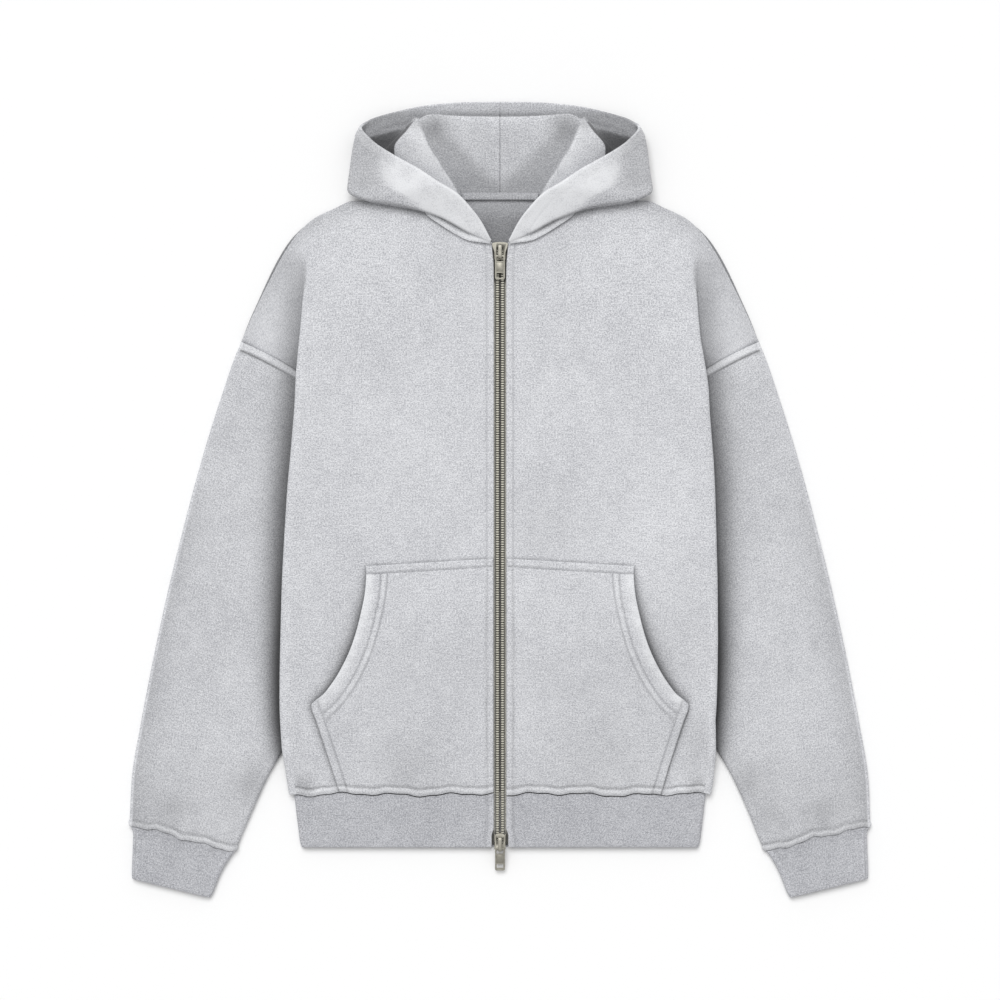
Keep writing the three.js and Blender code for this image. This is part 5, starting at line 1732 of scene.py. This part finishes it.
def with_slots(mesh, slots):
    """The mesh with blocks cut out of it."""
    cutters = bmesh.new()
    for slot in slots:
        cutters.from_mesh(slot)
        bpy.data.meshes.remove(slot)
    cut = bpy.data.meshes.new("slots")
    cutters.to_mesh(cut)
    cutters.free()
    plate, tool = (new_object(part.name + "_part", part) for part in (mesh, cut))
    modifier = plate.modifiers.new("slots", "BOOLEAN")
    modifier.operation = "DIFFERENCE"
    modifier.object = tool
    bpy.context.view_layer.update()
    done = bpy.data.meshes.new_from_object(plate.evaluated_get(bpy.context.evaluated_depsgraph_get()))
    for part in (plate, tool):
        bpy.data.objects.remove(part)
    bpy.data.meshes.remove(cut)
    bpy.data.meshes.remove(mesh)
    return done


def side_bars(name, xs, ys, zs, bevel, segments=1):
    """Two blocks between the same distances from the middle line, one on each side of it."""
    pairs = (sorted((sign * xs[0], sign * xs[1])) for sign in (-1, 1))
    return [bar(name, (x0, ys[0], zs[0]), (x1, ys[1], zs[1]), bevel, segments) for x0, x1 in pairs]


def slider_object(label, s):
    half = [(s["wide"] * 0.35, y_of(s["end"])), (s["wide"], y_of(mix(s["end"], s["mouth"], 0.22))),
            (s["wide"] * 0.95, y_of(s["mouth"])), (5.5, y_of(s["waist"])), (5.4, y_of(s["plate_end"]))]
    outline = softened(half + [(-x, y) for x, y in half[::-1]])
    lip_y = sorted((y_of(s["waist"]), y_of(s["plate_end"]) + s["lip_short"]))
    wedge_y = sorted(y_of(d) for d in s["wedge"])
    slot_y = sorted(y_of(d) for d in s["slots"])
    slots = side_bars("slot", SLOT_X, slot_y, (PLATE_LOW - 1, PLATE_HIGH + 1), 0)
    meshes = [
        with_slots(plate_mesh("top_plate", outline, PLATE_LOW, PLATE_HIGH, 0.4), slots),
        plate_mesh("base", outline * [0.86, 1], BASE_LOW, BASE_HIGH, 0.3),
        bar("wedge", (-2.6, wedge_y[0], BASE_HIGH - 0.2), (2.6, wedge_y[1], PLATE_LOW + 0.2), 0.3, 2),
        bail_mesh(y_of(s["axis"])),
    ]
    meshes += side_bars("lip", LIP_X, lip_y, (7.6, PLATE_LOW + 0.3), 0.3, 2)
    return joined("slider_" + label + "_cast", meshes)


def cross_bar(name, start, end, half_height, bevel, segments=2):
    """A block across the pull between two places along it."""
    return bar(name, (-PANEL_X, start, -half_height), (PANEL_X, end, half_height), bevel, segments)


def pull_object(label, s):
    window = s["window"]
    outer, inner = rounded_box(-5.2, -24.4, 5.2, 1.1, 1.7), rounded_box(-3.5, -22.9, 3.5, -1.0, 0.8)
    meshes = [
        frame_mesh("rim", outer, inner, -0.8, 0.8, 0.35),
        cross_bar("panel", window[1], -5.4, 0.42, 0.1, 1),
        cross_bar("bar_high", -6.7, -5.4, 0.68, 0.25),
        cross_bar("bar_low", window[1] - 0.2, window[1] + 1.1, 0.68, 0.25),
        cross_bar("foot", -23.2, window[0], 0.68, 0.2),
    ]
    meshes += side_bars("line", LINE_X, (window[1] + 2.2, -7.8), (0.2, 0.62), 0.18, 2)
    return joined("pull_" + label + "_cast", meshes, s["tilt"], (0, y_of(s["axis"]), AXIS_Z))


for label, s in SLIDERS.items():
    body = finish(slider_object(label, s), metal)
    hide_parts("slider_" + label)
    pull = finish(pull_object(label, s), metal, label + "_pull")
    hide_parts("pull_" + label)
    print(body.name, pull.name, len(body.data.polygons) + len(pull.data.polygons), "faces")

# %% [markdown]
# Every seam is held by visible stitching in a pale thread. The lines were kept while the cloth was
# made, each on the surface that it crosses. A stitch is a short round bar of thread, repeated along
# its line by the same nodes as the teeth, with a small random turn so that no two lie quite alike.

# %% Stitches
STITCH_PITCH = 0.0031
STITCH_WOBBLE = 0.06
stitch = bpy.data.objects.new("stitch_pattern", bar(
    "stitch_pattern", (-1.2, -0.3, -0.24), (1.2, 0.3, 0.24), 0.22))
stitches = repeated("stitches_thread", STITCHES, stitch, STITCH_PITCH, thread, STITCH_WOBBLE)
bpy.data.objects.remove(stitch)
stitches.data.shade_smooth()
finish(stitches, thread)
print("stitches:", len(STITCHES), "lines,", len(stitches.data.polygons), "faces")

# %% [markdown]
# The garment lies on a plain pale floor under one large soft light and a soft even sky. The light
# stands towards the hood and a little to the left, so that the cuffs and the hem throw a faint soft
# shade below them.
# The camera looks straight down from far away with a long lens, which keeps the outline flat.

# %% Floor, light and camera
FLOOR_REACH = 6.0
FLOOR_Z = -0.0003
FLOOR_TONE = 0.93
SKY_STRENGTH = 0.56
SUN_STRENGTH = 1.88
SUN_SPREAD = 38
SUN_PLACE = (-0.35, 1.3, 2.3)
floor_mesh = bpy.data.meshes.new("floor")
floor_corners = [(x * FLOOR_REACH, y * FLOOR_REACH, FLOOR_Z) for x, y in ((-1, -1), (1, -1), (1, 1), (-1, 1))]
floor_mesh.from_pydata(floor_corners, [], [(0, 1, 2, 3)])
floor = new_object("floor", floor_mesh)
floor_material, _, floor_shader = new_material("floor_paint")
floor_shader.inputs["Base Color"].default_value = (FLOOR_TONE, FLOOR_TONE, FLOOR_TONE, 1)
floor_shader.inputs["Roughness"].default_value = 0.8
floor_mesh.materials.append(floor_material)

scene = bpy.context.scene
world = bpy.data.worlds.new("even_sky")
world.use_nodes = True
sky = world.node_tree.nodes["Background"]
sky.inputs["Color"].default_value = (1, 1, 1, 1)
sky.inputs["Strength"].default_value = SKY_STRENGTH
scene.world = world
lamp = bpy.data.lights.new("soft_window", "SUN")
lamp.angle = math.radians(SUN_SPREAD)
lamp.energy = SUN_STRENGTH
lamp_object = new_object("soft_window", lamp)
lamp_object.location = SUN_PLACE
lamp_object.rotation_euler = (-Vector(SUN_PLACE)).to_track_quat("-Z", "Y").to_euler()

CAMERA_HEIGHT = 3.5
FRAME_WIDTH = 1.05
FRAME_MIDDLE_DOWN = 500
CHEST_HEIGHT = 0.01
SENSOR = 36
camera = bpy.data.cameras.new("camera")
camera.sensor_width = SENSOR
camera.lens = SENSOR * (CAMERA_HEIGHT - CHEST_HEIGHT) / FRAME_WIDTH
camera_object = new_object("camera", camera)
camera_object.location = (0, y_of(FRAME_MIDDLE_DOWN) * 0.001, CAMERA_HEIGHT)
scene.camera = camera_object
scene.view_settings.view_transform = "Standard"
print("camera lens", round(camera.lens, 1))
